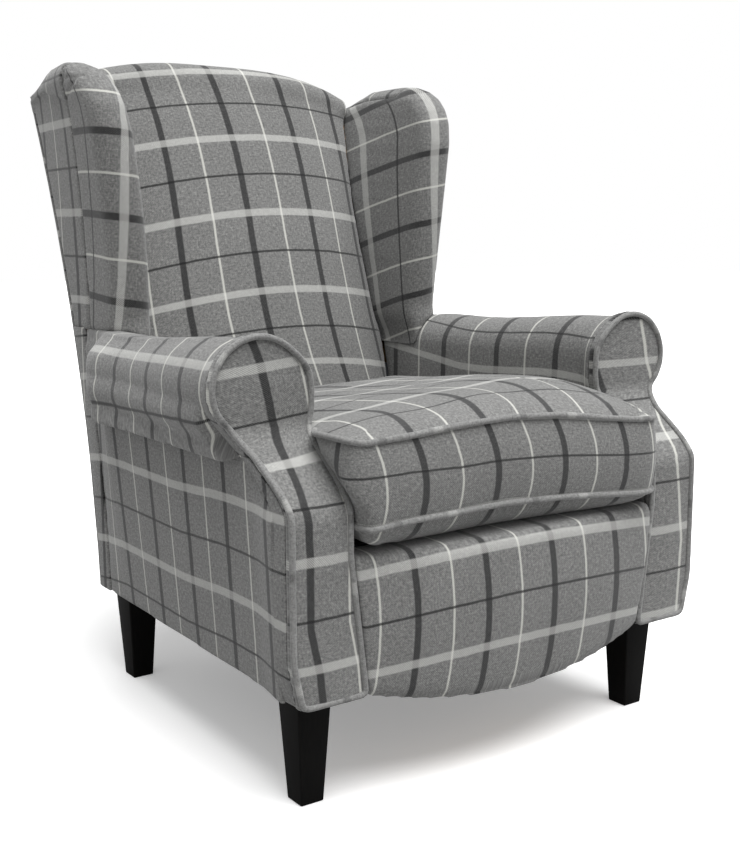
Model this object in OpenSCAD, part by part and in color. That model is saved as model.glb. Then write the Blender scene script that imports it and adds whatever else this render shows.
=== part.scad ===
// Wing-back fireside chair, in millimetres.
// Origin: floor level, under the centre of the chair's bounding box. +X right, +Y rear, +Z up.
// Hardwood frame on four square tapered legs, sprung seat, padded covers and a loose box cushion.

/* [Overall] */
// Depth from the cushion's front piping to the top of the outside back
overall_d = 968; // [950:1:990]
// Height of the legs, floor to underside of the frame
leg_h = 155; // [130:1:180]
// Height of the back at the middle of its camel top
back_top_z = 1050; // [1025:1:1060]
// How far the camel top drops from its middle to the wings
camel_drop = 45; // [25:1:60]
// How far the back leans to the rear between the seat frame and its top
back_sweep = 253; // [225:1:265]

/* [Seat] */
// Clear width between the inside arms
seat_w = 540; // [500:1:570]
// Height of the platform that the cushion rests on
deck_z = 345; // [338:1:355]
// Thickness of the sprung platform
deck_t = 14; // [8:1:18]
// Height of the top edge of the seat rails
rail_top_z = 300; // [290:1:310]
// Thickness of the seat rails
rail_t = 25; // [20:1:27]
// Clearance between padded pieces
pad_gap = 0.3; // [0.2:0.1:0.6]

/* [Cushion] */
// Depth of the cushion, front to back
cushion_d = 634; // [600:1:636]
// Height of the border between the two rows of piping
cushion_border = 113; // [95:1:125]
// Height of the lower piping above the cushion's underside
cushion_belly = 40; // [25:1:45]
// Rise of the crown above the upper piping
cushion_crown = 20; // [8:1:30]
// Corner radius of the cushion, seen from above
cushion_corner_r = 46; // [30:1:60]
// How far the sides draw in between the corners
cushion_draw = 5; // [0:1:10]
// Radius of the piping cord
piping_r = 4; // [3:0.5:5]
// Width of the zip opening in the cushion's rear border
zip_w = 440; // [300:1:470]

/* [Arms] */
// Height of the highest point of the arms, at their front
arm_top_z = 613; // [600:1:625]
// Radius of the arm roll
roll_r = 65; // [58:1:68]
// How far the top of the arm falls towards the wing
arm_fall = 20; // [8:1:28]
// How far the face of the roll lies behind the lower face of the arm
scroll_setback = 112; // [90:1:125]
// Thickness of the arm board
arm_board_t = 28; // [22:1:32]
// Padding on the inside of the arm
arm_pad = 12; // [8:1:16]
// Thickness of the padded facing on the front of the arm
facing_t = 12; // [8:1:16]
// Thickness of the scroll board behind the facing
scroll_board_t = 24; // [18:1:30]
// Thickness of the outside arm panel
side_panel_t = 8; // [5:1:10]

/* [Front border] */
// How far the middle of the border stands in front of its ends
border_crown = 25; // [10:1:32]
// Padding between the bowed former and the face of the border
border_pad = 12; // [8:1:16]
// How far the border's lower edge dips at its middle
border_dip = 34; // [10:1:45]

/* [Wings] */
// Highest point of the wings
wing_top_z = 1016; // [1000:1:1024]
// Radius of the padded front edge of the wing
wing_nose_r = 34; // [30:1:38]
// How far the top of the wing flares outwards
wing_flare = 44; // [20:1:50]
// Thickness of the wing board
wing_board_t = 22; // [16:1:24]
// How far the front edge of the wing stands in front of the back frame's foot
wing_reach = 48; // [40:1:56]

/* [Back] */
// Thickness of the back frame, front to back
back_frame_t = 40; // [32:1:44]
// Thickness of the outside back at its edges
back_panel_t = 6; // [4:1:8]
// How far the middle of the outside back stands behind its edges
back_crown = 6; // [2:1:12]
// Padding of the inside back at its sides
back_pad_side = 20; // [12:1:28]
// Padding of the inside back at its middle
back_pad_middle = 58; // [45:1:66]

/* [Legs] */
// Width of the square leg at the floor
leg_foot_w = 35.5; // [30:0.5:42]
// Width of the square leg at the frame
leg_top_w = 53; // [46:1:56]
// Outer face of the front legs at the floor, from the centre line
leg_front_x = 320; // [305:1:322]
// Outer face of the rear legs at the floor, from the centre line
leg_rear_x = 302; // [290:1:304]
// Front face of the front legs at the floor, behind the chair's front
leg_front_setback = 81; // [78:1:90]
// Spacing of the legs, front face to rear face, at the floor
leg_spacing = 602; // [590:1:604]

/* [Hidden] */
// Colours
cloth = "#8b8b8a";
cloth_dark = "#4c4c4e";
beech = "#c9a26f";
steel = "#9aa0a6";
black_wood = "#1d1c1b";
felt = "#2f2f31";
webbing = "#33373a";

// Overruns and clearances
eps = 0.1;
over = 600;
fit_gap = 0.3;

// Places that follow from the sizes
front_y = -overall_d / 2;
rear_y = overall_d / 2;
base_z = leg_h;
face_setback = 31;
facing_y = front_y + face_setback;
rail_front_y = facing_y + facing_t + scroll_board_t;
rail_rear_y = rail_front_y + rail_t;
post_top_z = 968;
top_edge = 32;
sweep_linear_share = 0.2;
back_half_w = 331;
back_seams = [[345, 262], [540, 262], [600, 254], [720, 252], [800, 256], [860, 264], [900, 271],
    [950, 282], [1000, 296], [1060, 300]];
camel_half = 290;
arm_side_in = 1;
roll_x = seat_w / 2 + roll_r + arm_side_in;
roll_z = arm_top_z - roll_r;
arm_board_drop = 48;
arm_board_z = roll_z - arm_board_drop;
arm_board_top = arm_board_z + arm_board_t;
arm_board_in = seat_w / 2 + arm_pad + fit_gap;
arm_board_out = 352;
arm_seam_z = 466;
wing_z = 590;
post_w = 34;
rail_side_t = 28;
block_w = 78;
block_h = 44;
bolt_r = 4;
bolt_len = 62;
back_rail_z = base_z + block_h;

// Maths
function lerp(a, b, t) = a + (b - a) * t;
function clamp(t) = max(0, min(1, t));
function smooth(t) = let (c = clamp(t)) c * c * (3 - 2 * c);
function unit(v) = v / norm(v);
function flip(ring) = [for (i = [len(ring) - 1 : -1 : 0]) ring[i]];
function steps(n) = [for (i = [0 : n]) i / n];

// Outer face of the back at its edges, as a depth for a height
function back_line(z) =
    let (u = (z - base_z) / (back_top_z - top_edge - base_z))
    rear_y - back_crown - back_sweep * (1 - sweep_linear_share * u - (1 - sweep_linear_share) * u * u);
function frame_rear(z) = back_line(z) - back_panel_t;
function frame_front(z) = frame_rear(z) - back_frame_t;
back_steps = 36;
back_levels = [for (t = steps(back_steps)) lerp(base_z, back_top_z, t)];

// Height of the camel top for a distance from the middle
function camel(x) = back_top_z - camel_drop * pow(clamp(abs(x) / camel_half), 3);

// Half width of the inside back for a height
function back_seam(z) = lookup(z, back_seams);

// Face of the arm's front for a height: low and forward, then set back at the roll
scroll_low_z = 398;
scroll_high_z = 505;
scroll_steps = 10;
scroll_levels = [for (t = steps(scroll_steps)) lerp(scroll_low_z, scroll_high_z, t)];
function scroll_y(z) =
    facing_y + scroll_setback * smooth((z - scroll_low_z) / (scroll_high_z - scroll_low_z));
function scroll_slope(z) = (scroll_y(z + 1) - scroll_y(z - 1)) / 2;

// Outer line of the seat frame, as a distance from the middle for a depth
frame_front_x = 339;
frame_rear_x = 323;
frame_run = 640;
function frame_x(y) = lerp(frame_front_x, frame_rear_x, (y - facing_y) / frame_run);

// Triangles that fill a flat ring, found by cutting off one ear at a time
function turn(a, b, c) = (b[0] - a[0]) * (c[1] - a[1]) - (b[1] - a[1]) * (c[0] - a[0]);
function holds(a, b, c, p) =
    p != a && p != b && p != c && turn(a, b, p) >= 0 && turn(b, c, p) >= 0 && turn(c, a, p) >= 0;
function is_ear(flat, ids, i) =
    let (
        n = len(ids),
        a = flat[ids[(i + n - 1) % n]],
        b = flat[ids[i]],
        c = flat[ids[(i + 1) % n]]
    )
    turn(a, b, c) > 0 && len([for (k = ids) if (holds(a, b, c, flat[k])) k]) == 0;
function first_ear(flat, ids, i = 0) =
    i >= len(ids) - 1 || is_ear(flat, ids, i) ? i : first_ear(flat, ids, i + 1);
function ears(flat, ids) =
    len(ids) == 3
    ? [ids]
    : let (n = len(ids), i = first_ear(flat, ids))
        concat(
            [[ids[(i + n - 1) % n], ids[i], ids[(i + 1) % n]]],
            ears(flat, [for (k = [0 : n - 1]) if (k != i) ids[k]])
        );

function total(v, i = 0) = i == len(v) - 1 ? v[i] : v[i] + total(v, i + 1);

function cap(ring) =
    let (
        n = len(ring),
        normal = unit(total([for (i = [0 : n - 1]) cross(ring[i] - ring[0], ring[(i + 1) % n] - ring[0])])),
        u = unit(ring[1] - ring[0]),
        v = cross(normal, u)
    )
    ears([for (p = ring) [p * u, p * v]], [for (i = [0 : n - 1]) i]);

// A solid through rings of points, which run anticlockwise seen from the last ring
module loft(rings, closed = false) {
    n = len(rings[0]);
    m = len(rings);
    last = closed ? m - 1 : m - 2;
    points = [for (r = rings) each r];
    sides = [for (i = [0 : last], j = [0 : n - 1])
        let (a = i * n, b = ((i + 1) % m) * n, k = (j + 1) % n)
        each [[a + j, b + j, a + k], [a + k, b + j, b + k]]];
    ends = closed ? [] : concat(
        cap(rings[0]),
        [for (t = cap(rings[m - 1])) [for (k = [2 : -1 : 0]) (m - 1) * n + t[k]]]
    );
    polyhedron(points, concat(sides, ends), convexity = 6);
}

// A round cord along a path, closed on itself or with flat ends
module cord(path, r, sides = 6, closed = false) {
    m = len(path);
    rings = [for (i = [0 : m - 1])
        let (
            a = closed ? path[(i + m - 1) % m] : path[max(0, i - 1)],
            b = closed ? path[(i + 1) % m] : path[min(m - 1, i + 1)],
            t = unit(b - a),
            side = unit(cross(t, abs(t[2]) > 0.9 ? [0, 1, 0] : [0, 0, 1])),
            up = cross(side, t)
        )
        [for (k = [0 : sides - 1]) path[i] + r * (cos(360 * k / sides) * up + sin(360 * k / sides) * side)]];
    loft(rings, closed);
}

// A slab that follows the rake of the back between two offsets behind its outer line
module back_slab(front, rear, x0, x1, z0, z1) {
    hs = concat([z0], [for (z = back_levels) if (z > z0 + eps && z < z1 - eps) z], [z1]);
    outline = concat(
        [for (z = hs) [back_line(z) - front, z]],
        [for (z = flip(hs)) [back_line(z) - rear, z]]
    );
    translate([x0, 0, 0]) rotate([90, 0, 90]) linear_extrude(x1 - x0) polygon(outline);
}

// A strip that follows the scroll of the arm's front between two depths behind its face
module scroll_strip(near, far, x0, x1, z0, z1) {
    hs = concat([z0], scroll_levels, [z1]);
    outline = concat(
        [for (z = hs) [scroll_y(z) + near, z]],
        [for (z = flip(hs)) [scroll_y(z) + far, z]]
    );
    translate([x0, 0, 0]) rotate([90, 0, 90]) linear_extrude(x1 - x0) polygon(outline);
}

module left_of(is_left) {
    if (is_left) mirror([1, 0, 0]) children();
    else children();
}

// Seat frame
module front_rail() {
    half = frame_x(rail_rear_y);
    color(beech)
    translate([0, rail_rear_y, 0]) rotate([90, 0, 0]) linear_extrude(rail_t) polygon(concat(
        [for (x = camel_xs(border_half)) [x, rail_low(x)]],
        [[half, base_z], [half, rail_top_z], [-half, rail_top_z], [-half, base_z]]
    ));
}

module bow_former() {
    top_half = border_half + border_splay * (rail_top_z - base_z) / (deck_z - base_z);
    color(beech)
    intersection() {
        translate([0, 0, base_z - border_dip]) linear_extrude(over) polygon(concat(
            [for (x = concat([-top_half], camel_xs(border_half), [top_half]))
                [x, border_front(min(border_half, abs(x))) + border_pad]],
            [[top_half, rail_front_y], [-top_half, rail_front_y]]
        ));
        translate([0, rear_y, 0]) rotate([90, 0, 0]) linear_extrude(overall_d) polygon(concat(
            [for (x = camel_xs(border_half)) [x, rail_low(x)]],
            [[top_half, rail_top_z], [-top_half, rail_top_z]]
        ));
    }
}

module back_rail() {
    inner = frame_rear_x - post_w;
    color(beech)
    back_slab(back_panel_t + back_frame_t, back_panel_t + back_frame_t - rail_t, -inner, inner,
        back_rail_z, rail_top_z);
}

module back_post() {
    color(beech)
    back_slab(back_panel_t + back_frame_t, back_panel_t, frame_rear_x - post_w, frame_rear_x,
        base_z, post_top_z);
}

module side_rail() {
    y0 = rail_rear_y;
    y1 = frame_front(rail_top_z);
    color(beech)
    difference() {
        translate([0, 0, base_z]) linear_extrude(rail_top_z - base_z) polygon([
            [frame_x(y0), y0],
            [frame_x(y1), y1],
            [frame_x(y1) - rail_side_t, y1],
            [frame_x(y0) - rail_side_t, y0]
        ]);
        back_slab(back_panel_t + back_frame_t, -over, 0, over, base_z - eps, rail_top_z + eps);
    }
}

module leg_bolt_hole(x, y) {
    translate([x, y, base_z - bolt_len / 2]) cylinder(h = bolt_len, r = bolt_r + fit_gap / 2, $fn = 24);
}

leg_front_cy = front_y + leg_front_setback + leg_foot_w / 2;
leg_rear_cy = front_y + leg_front_setback + leg_spacing - leg_foot_w / 2;
leg_front_cx = leg_front_x - leg_foot_w / 2;
leg_rear_cx = leg_rear_x - leg_foot_w / 2;

module front_block() {
    y0 = rail_rear_y;
    y1 = y0 + block_w;
    difference() {
        translate([0, 0, base_z]) linear_extrude(block_h) polygon([
            [frame_x(y0) - rail_side_t, y0],
            [frame_x(y1) - rail_side_t, y1],
            [frame_x(y1) - rail_side_t - block_w / 3, y1],
            [frame_x(y0) - rail_side_t - block_w, y0 + block_w / 4],
            [frame_x(y0) - rail_side_t - block_w, y0]
        ]);
        leg_bolt_hole(leg_front_cx, leg_front_cy);
    }
}

module rear_block() {
    y1 = leg_rear_cy + leg_top_w / 2;
    y0 = y1 - block_w;
    difference() {
        translate([0, 0, base_z]) linear_extrude(block_h) polygon([
            [frame_x(y0) - rail_side_t, y0],
            [frame_x(y1) - rail_side_t, y1],
            [frame_x(y1) - rail_side_t - block_w, y1],
            [frame_x(y0) - rail_side_t - block_w, y0 + block_w / 2]
        ]);
        leg_bolt_hole(leg_rear_cx, leg_rear_cy);
        back_slab(back_panel_t + back_frame_t, back_panel_t, frame_rear_x - post_w, over,
            base_z - over / 10, rail_top_z);
    }
}

module corner_blocks() {
    color(beech) for (s = [0, 1]) mirror([s, 0, 0]) {
        front_block();
        rear_block();
    }
}

// Legs and their fixings
module leg(cx, cy) {
    half_top = leg_top_w / 2;
    half_foot = leg_foot_w / 2;
    face = [[-half_foot, 0], [half_foot, 0], [half_top, leg_h], [-half_top, leg_h]];
    color(black_wood)
    difference() {
        translate([cx, cy, 0]) intersection() {
            rotate([90, 0, 0]) translate([0, 0, -half_top]) linear_extrude(leg_top_w) polygon(face);
            rotate([90, 0, 90]) translate([0, 0, -half_top]) linear_extrude(leg_top_w) polygon(face);
        }
        leg_bolt_hole(cx, cy);
        translate([cx, cy, -eps]) cylinder(h = glide_recess + eps, r = glide_r + fit_gap / 2, $fn = 32);
    }
}

module front_leg() { leg(leg_front_cx, leg_front_cy); }
module rear_leg() { leg(leg_rear_cx, leg_rear_cy); }

module at_each_leg() {
    for (s = [-1, 1]) {
        translate([s * leg_front_cx, leg_front_cy, 0]) children();
        translate([s * leg_rear_cx, leg_rear_cy, 0]) children();
    }
}

module leg_bolts() {
    color(steel) at_each_leg() translate([0, 0, base_z - bolt_len / 2 + eps])
        cylinder(h = bolt_len - 2 * eps, r = bolt_r, $fn = 24);
}

glide_r = 9;
glide_recess = 2;
module leg_glides() {
    color("#3a3a3c") at_each_leg() cylinder(h = glide_recess, r = glide_r, $fn = 32);
}

// Sprung seat
spring_r = 1.9;
spring_count = 4;
spring_bars = 15;
spring_half_w = 24;
clip_w = 40;
clip_d = 13;
clip_h = 6;
spring_y0 = rail_rear_y - clip_d / 2;
spring_y1 = frame_front(rail_top_z) + clip_d / 2;
spring_pitch = (spring_y1 - spring_y0) / (spring_bars - 1);
function spring_z(y) =
    rail_top_z + clip_h / 2
    + (deck_z - deck_t - rail_top_z - clip_h / 2 - spring_r - fit_gap)
    * sin(180 * (y - spring_y0) / (spring_y1 - spring_y0));
function spring_path(x) = [
    [x - spring_half_w, spring_y0, spring_z(spring_y0)],
    for (i = [0 : spring_bars - 1], t = [0 : 4])
    let (
        side = i % 2 == 0 ? 1 : -1,
        bulge = sin(45 * t) * spring_pitch / 3,
        y = spring_y0 + spring_pitch * (i + t / 4)
    )
    if (i < spring_bars - 1 || t == 0)
    [x + side * (spring_half_w + bulge), y, spring_z(y)]
];
function spring_x(i) = seat_w * ((i + 0.5) / spring_count - 0.5);

module seat_springs() {
    color(steel) for (i = [0 : spring_count - 1]) cord(spring_path(spring_x(i)), spring_r, 5);
}

module spring_clips() {
    color(steel) for (i = [0 : spring_count - 1], y = [spring_y0, spring_y1])
    translate([spring_x(i), y, rail_top_z]) difference() {
        translate([-clip_w / 2, -clip_d / 2, 0]) cube([clip_w, clip_d, clip_h]);
        translate([-clip_w, 0, clip_h / 2]) rotate([0, 90, 0])
            cylinder(h = 2 * clip_w, r = spring_r + fit_gap, $fn = 20);
        translate([-clip_w, -spring_r - fit_gap, clip_h / 2])
            cube([2 * clip_w, 2 * (spring_r + fit_gap), clip_h]);
    }
}

lip_d = 8;
module seat_deck() {
    y0 = rail_front_y + lip_d + pad_gap;
    y1 = frame_front(deck_z - deck_t) - pad_gap;
    color(felt)
    translate([-seat_w / 2 - arm_pad + pad_gap, y0, deck_z - deck_t])
        cube([seat_w + 2 * (arm_pad - pad_gap), y1 - y0, deck_t]);
}

dust_t = 1;
module dust_cover() {
    color("#222224")
    difference() {
        translate([0, 0, base_z - dust_t]) linear_extrude(dust_t) polygon([
            [-frame_x(rail_rear_y), rail_rear_y],
            [frame_x(rail_rear_y), rail_rear_y],
            [frame_x(0) - side_panel_t, back_line(base_z) - back_panel_t],
            [-frame_x(0) + side_panel_t, back_line(base_z) - back_panel_t]
        ]);
        at_each_leg() translate([-leg_top_w / 2 - eps, -leg_top_w / 2 - eps, base_z - 2 * dust_t])
            cube([leg_top_w + 2 * eps, leg_top_w + 2 * eps, 4 * dust_t]);
    }
}

// Arm frame
facing_foot_out = 11;
facing_foot_in = 22;
facing_side_out = 24;
facing_bottom_out = frame_front_x + facing_foot_out;
facing_bottom_in = seat_w / 2 - facing_foot_in;
facing_side_x = frame_front_x + facing_side_out;
facing_side_z = 220;

// Outline of the arm's front, seen from the front, drawn in by an inset
function scroll_outline(inset) = concat(
    [[facing_bottom_in + inset, base_z + inset], [facing_bottom_out - inset, base_z + inset]],
    [[facing_side_x - inset, facing_side_z], [facing_side_x - inset, roll_z - roll_r - roll_r / 4]],
    [for (a = [-50 : 10 : 180]) [roll_x + (roll_r - inset) * cos(a), roll_z + (roll_r - inset) * sin(a)]],
    [[seat_w / 2 + arm_side_in + inset, deck_z]]
);

module scroll_blank(inset) {
    translate([0, over, 0]) rotate([90, 0, 0]) linear_extrude(3 * over) polygon(scroll_outline(inset));
}

board_inset = 5;
module scroll_board() {
    color(beech)
    intersection() {
        scroll_blank(board_inset);
        scroll_strip(facing_t, facing_t + scroll_board_t, 0, over, base_z, arm_top_z);
    }
}

module arm_facing() {
    color(cloth)
    intersection() {
        scroll_blank(0);
        scroll_strip(0, facing_t, 0, over, base_z, arm_top_z + eps);
    }
}

piping_inset = 1;
piping_gap = 0.15;
function facing_path() =
    let (flat = scroll_outline(piping_r + piping_inset))
    [for (i = [0 : len(flat) - 1])
        let (
            p = flat[i],
            q = flat[(i + 1) % len(flat)],
            rise = q[1] - p[1],
            between = [for (z = rise > 0 ? scroll_levels : flip(scroll_levels))
                if (rise != 0 && (z - p[1]) / rise > 0 && (z - p[1]) / rise < 1) (z - p[1]) / rise]
        )
        for (t = concat([0], between))
        let (m = lerp(p, q, t))
        [m[0], scroll_y(m[1]) - (piping_r + piping_gap) * norm([1, scroll_slope(m[1])]), m[1]]];

module facing_piping() {
    color(cloth_dark) cord(facing_path(), piping_r, 6, true);
}

arm_back_y = scroll_y(arm_top_z) + facing_t + scroll_board_t;
wing_foot_y = frame_front(base_z) - wing_reach;
arm_tail_past = 34;
arm_tail_y = wing_foot_y + arm_tail_past;
arm_stations = concat(
    [for (t = steps(8)) lerp(facing_y, arm_tail_y - roll_r, t)],
    [for (a = [15 : 15 : 90]) arm_tail_y - roll_r + roll_r * sin(a)],
    [for (t = [0.12, 0.3, 0.5, 1]) lerp(arm_tail_y, rear_y, t)]
);

// Outer edge of the arm board, which narrows to the back post behind the roll
function board_x(y) =
    lerp(arm_board_out, frame_x(y), smooth((y - arm_tail_y + roll_r) / (roll_r * 1.6)));

module arm_board() {
    color(beech)
    difference() {
        translate([0, 0, arm_board_z]) linear_extrude(arm_board_t) polygon(concat(
            [for (y = arm_stations) [board_x(y), y]],
            [[arm_board_in, rear_y], [arm_board_in, facing_y]]
        ));
        before_scroll(0);
        back_slab(back_panel_t + back_frame_t, -over, 0, over, base_z, back_top_z);
    }
}

stump_w = 40;
stump_setback = 10;
module arm_stump() {
    color(beech)
    translate([frame_x(arm_back_y) - rail_side_t, arm_back_y + stump_setback, rail_top_z])
        cube([rail_side_t, stump_w, arm_board_z - rail_top_z]);
}

roll_lip = 2;
// Section of the arm pad: inside face, roll over the arm board, and its tucked-in underside
function arm_ring(y) =
    let (
        fall = arm_fall * smooth((y - arm_back_y) / (wing_foot_y - arm_back_y) * 1.3),
        tail = clamp((y - (arm_tail_y - roll_r)) / roll_r),
        out = sqrt(max(0.003, 1 - tail * tail)),
        r = roll_r - fall / 2,
        cx = roll_x - fall / 2,
        cz = roll_z - fall / 2,
        edge = board_x(y) + fit_gap
    )
    concat(
        [[seat_w / 2, y, deck_z], [seat_w / 2, y, cz - roll_r / 2]],
        [for (a = [180 : -12 : -60])
            let (x = a > 90 ? cx + r * cos(a) : max(cx + r * cos(a) * out, edge + roll_lip))
            [x, y, cz + r * sin(a)]],
        [
            [edge + side_panel_t, y, arm_seam_z + eps],
            [edge, y, arm_seam_z + eps],
            [edge, y, arm_board_top + fit_gap],
            [arm_board_in - fit_gap, y, arm_board_top + fit_gap],
            [arm_board_in - fit_gap, y, deck_z]
        ]
    );

// Everything behind the front plane of the back frame
module behind_back(x0, x1) {
    back_slab(back_panel_t + back_frame_t, -over, x0, x1, base_z - eps, back_top_z + eps);
}

// Everything in front of the scroll board's rear face
module before_scroll(gap) {
    scroll_strip(-over, facing_t + scroll_board_t + gap, 0, over, base_z - eps, arm_top_z + over / 10);
}

module inside_arm() {
    color(cloth)
    difference() {
        loft([for (y = arm_stations) arm_ring(y)]);
        before_scroll(0);
        behind_back(0, over);
        translate([0, wing_foot_y, wing_z]) cube([over, over, over]);
        wing_board_blank(fit_gap);
    }
}

module outside_arm() {
    color(cloth)
    difference() {
        loft([for (y = arm_stations) [
            [board_x(y) + fit_gap, y, arm_seam_z],
            [board_x(y) + fit_gap + side_panel_t, y, arm_seam_z],
            [frame_x(y) + fit_gap + side_panel_t, y, base_z],
            [frame_x(y) + fit_gap, y, base_z]
        ]]);
        before_scroll(fit_gap);
        behind_back(0, over);
    }
}

strip_t = 9;
module post_cover() {
    color(cloth)
    back_slab(back_panel_t + back_frame_t, back_panel_t, frame_rear_x + fit_gap,
        frame_rear_x + fit_gap + strip_t, base_z, wing_z);
}

// Wings
wing_x = 290;
wing_board_x = 292;
wing_lean = 1.5;
function wing_rise(z) = clamp((z - wing_z) / (wing_top_z - wing_z));
function wing_nose_x(z) = wing_x + wing_flare * pow(wing_rise(z), 1.7);
wing_belly_share = 0.62;
wing_bow = 16;
wing_round = 110;
wing_top_in = 20;
wing_rear_in = 26;
wing_form_rise = 30;
wing_board_drop = 30;
wing_clear = 2.5;
function wing_front_y(z) =
    let (
        bow = wing_bow * sin(180 * clamp(wing_rise(z) / (2 * wing_belly_share))),
        top = max(0, z - (wing_top_z - wing_round)) / wing_round
    )
    wing_foot_y - bow + (wing_round + wing_top_in) * (1 - sqrt(max(0, 1 - top * top)));
function wing_rear_y(z) =
    let (top = max(0, z - post_top_z) / (wing_top_z - post_top_z))
    frame_rear(z) - wing_rear_in * (1 - sqrt(max(0, 1 - top * top)));
function wing_ring(z) =
    let (
        x = wing_nose_x(z),
        top = max(0, z - (wing_top_z - wing_nose_r)) / wing_nose_r,
        r = wing_nose_r * max(0.3, sqrt(max(0, 1 - top * top))),
        y = wing_front_y(z) + r,
        back = wing_rear_y(z),
        slim = wing_nose_r - r
    )
    concat(
        [
            [back_seam(z) + wing_clear + slim, back, z],
            [back_seam(z) + wing_clear + slim, min(frame_front(z), back) - back_pad_side - fit_gap, z]
        ],
        [for (a = [180 : 18 : 360]) [x + r * cos(a), y + r * sin(a), z]],
        [
            [lerp(back_half_w - slim, x + r, 0.6), lerp(back, y, 0.6), z],
            [back_half_w - slim, back, z]
        ]
    );

module wing_form() {
    loft([for (z = concat(
        [wing_z + fit_gap],
        [for (t = steps(9)) lerp(wing_z + wing_form_rise, wing_top_z - wing_round, t)],
        [for (a = [20 : 14 : 90]) wing_top_z - wing_round + wing_round * sin(a)]
    )) wing_ring(z)]);
}

// Blank of the wing board, grown all round by a gap
module wing_board_blank(gap) {
    y_foot = wing_foot_y + wing_nose_r;
    zs = [for (t = steps(8)) lerp(arm_board_top, wing_top_z - wing_board_drop, t)];
    front = [for (z = zs) [max(y_foot, wing_front_y(z) + wing_nose_r) - gap, z]];
    outline = concat(
        [[y_foot - gap, arm_board_top - over / 10]],
        front,
        [[rear_y, wing_top_z - wing_board_drop + gap], [rear_y, arm_board_top - over / 10]]
    );
    intersection() {
        translate([wing_board_x - gap, 0, arm_board_top]) rotate([0, wing_lean, 0])
            translate([0, 0, -arm_board_top]) rotate([90, 0, 90])
            linear_extrude(wing_board_t + 2 * gap) polygon(outline);
        translate([0, -over, arm_board_top - (gap > 0 ? eps : 0)]) cube([over, 3 * over, over * 2]);
    }
}

module wing_board() {
    color(beech)
    difference() {
        wing_board_blank(0);
        behind_back(0, over);
    }
}

wing_seam_back = 59;
wing_seam_y = frame_front(base_z) + wing_seam_back;
module wing_outer_zone(gap) {
    translate([wing_board_x + wing_board_t / 2, wing_seam_y - gap, arm_seam_z])
        cube([over, over, over * 2]);
}

module wing_frame_pockets() {
    wing_board_blank(fit_gap);
    back_slab(back_panel_t + back_frame_t + fit_gap, -over, 0, frame_rear_x + fit_gap,
        base_z, post_top_z + fit_gap);
}

module inside_wing() {
    color(cloth)
    difference() {
        wing_form();
        wing_frame_pockets();
        wing_outer_zone(fit_gap);
    }
}

module outside_wing() {
    color(cloth)
    difference() {
        intersection() {
            wing_form();
            wing_outer_zone(0);
        }
        wing_frame_pockets();
    }
}

// Back
camel_stations = 16;
camel_end = 3;
function camel_xs(half) = [for (t = steps(camel_stations)) lerp(-half, half, t)];
crest_h = 90;
crest_slab_z = 800;
module crest_rail() {
    half = frame_rear_x - post_w;
    xs = concat([-half], camel_xs(half - camel_end), [half]);
    color(beech)
    intersection() {
        back_slab(back_panel_t + back_frame_t, back_panel_t, -half, half, crest_slab_z, back_top_z);
        translate([0, over * 2, 0]) rotate([90, 0, 0]) linear_extrude(4 * over) polygon(concat(
            [for (x = xs) [x, camel(x) - top_edge]],
            [[half, post_top_z - crest_h], [-half, post_top_z - crest_h]]
        ));
    }
}

lower_rail_h = 60;
lower_rail_z = deck_z + rail_t;
module lower_back_rail() {
    half = frame_rear_x - post_w;
    color(beech)
    back_slab(back_panel_t + back_frame_t, back_panel_t + back_frame_t - rail_t, -half, half,
        lower_rail_z, lower_rail_z + lower_rail_h);
}

strap_w = 50;
strap_t = 2;
strap_count = 5;
strap_gap = 40;
module back_webbing() {
    half = frame_rear_x - post_w;
    z0 = lower_rail_z + lower_rail_h + strap_gap;
    z1 = post_top_z - crest_h - strap_gap;
    color(webbing) for (i = [0 : strap_count - 1]) {
        z = lerp(z0, z1, i / (strap_count - 1));
        back_slab(back_panel_t + back_frame_t, back_panel_t + back_frame_t - strap_t, -half, half,
            z - strap_w / 2, z + strap_w / 2);
    }
}

pad_bottom_z = deck_z;
pad_top_drop = 14;
pad_fill_h = 130;
pad_low_share = 0.72;
pad_lift = 1;

function pad_half_t(share) =
    lerp(back_pad_side, back_pad_middle, pow(1 - pow(clamp(share), 2.4), 0.8));
function pad_front(x, z) =
    frame_front(z) - pad_half_t(abs(x) / back_seam(z))
    * lerp(pad_low_share, 1, smooth((z - pad_bottom_z) / pad_fill_h));
function pad_ring(x) =
    let (
        top = camel(x),
        edge = camel(x) - top_edge,
        turn_z = edge - pad_top_drop,
        zs = [for (t = steps(12)) lerp(pad_bottom_z, turn_z, t)],
        y0 = pad_front(x, turn_z),
        y1 = back_line(edge),
        mid = (y0 + y1) / 2,
        half = (y1 - y0) / 2
    )
    concat(
        [for (z = zs) [x, pad_front(x, z), z]],
        [for (a = [160 : -20 : 20]) [x, mid + half * cos(a), turn_z + (top - turn_z) * pow(sin(a), 0.7)]],
        [[x, y1, edge + pad_lift], [x, frame_front(edge + pad_lift) - fit_gap, edge + pad_lift]],
        [for (i = [12 : -1 : 0]) [x, frame_front(zs[i]) - fit_gap, zs[i]]]
    );

// The pad is cut to its seams, which stand wider apart towards the top
module inside_back() {
    right = [for (s = back_seams) [s[1], s[0]]];
    outline = concat([[right[0][0], 0]], right);
    color(cloth)
    intersection() {
        loft([for (x = camel_xs(back_half_w)) flip(pad_ring(x))]);
        translate([0, over, 0]) rotate([90, 0, 0]) linear_extrude(2 * over)
            polygon(concat(outline, [for (p = flip(outline)) [-p[0], p[1]]]));
    }
}

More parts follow.
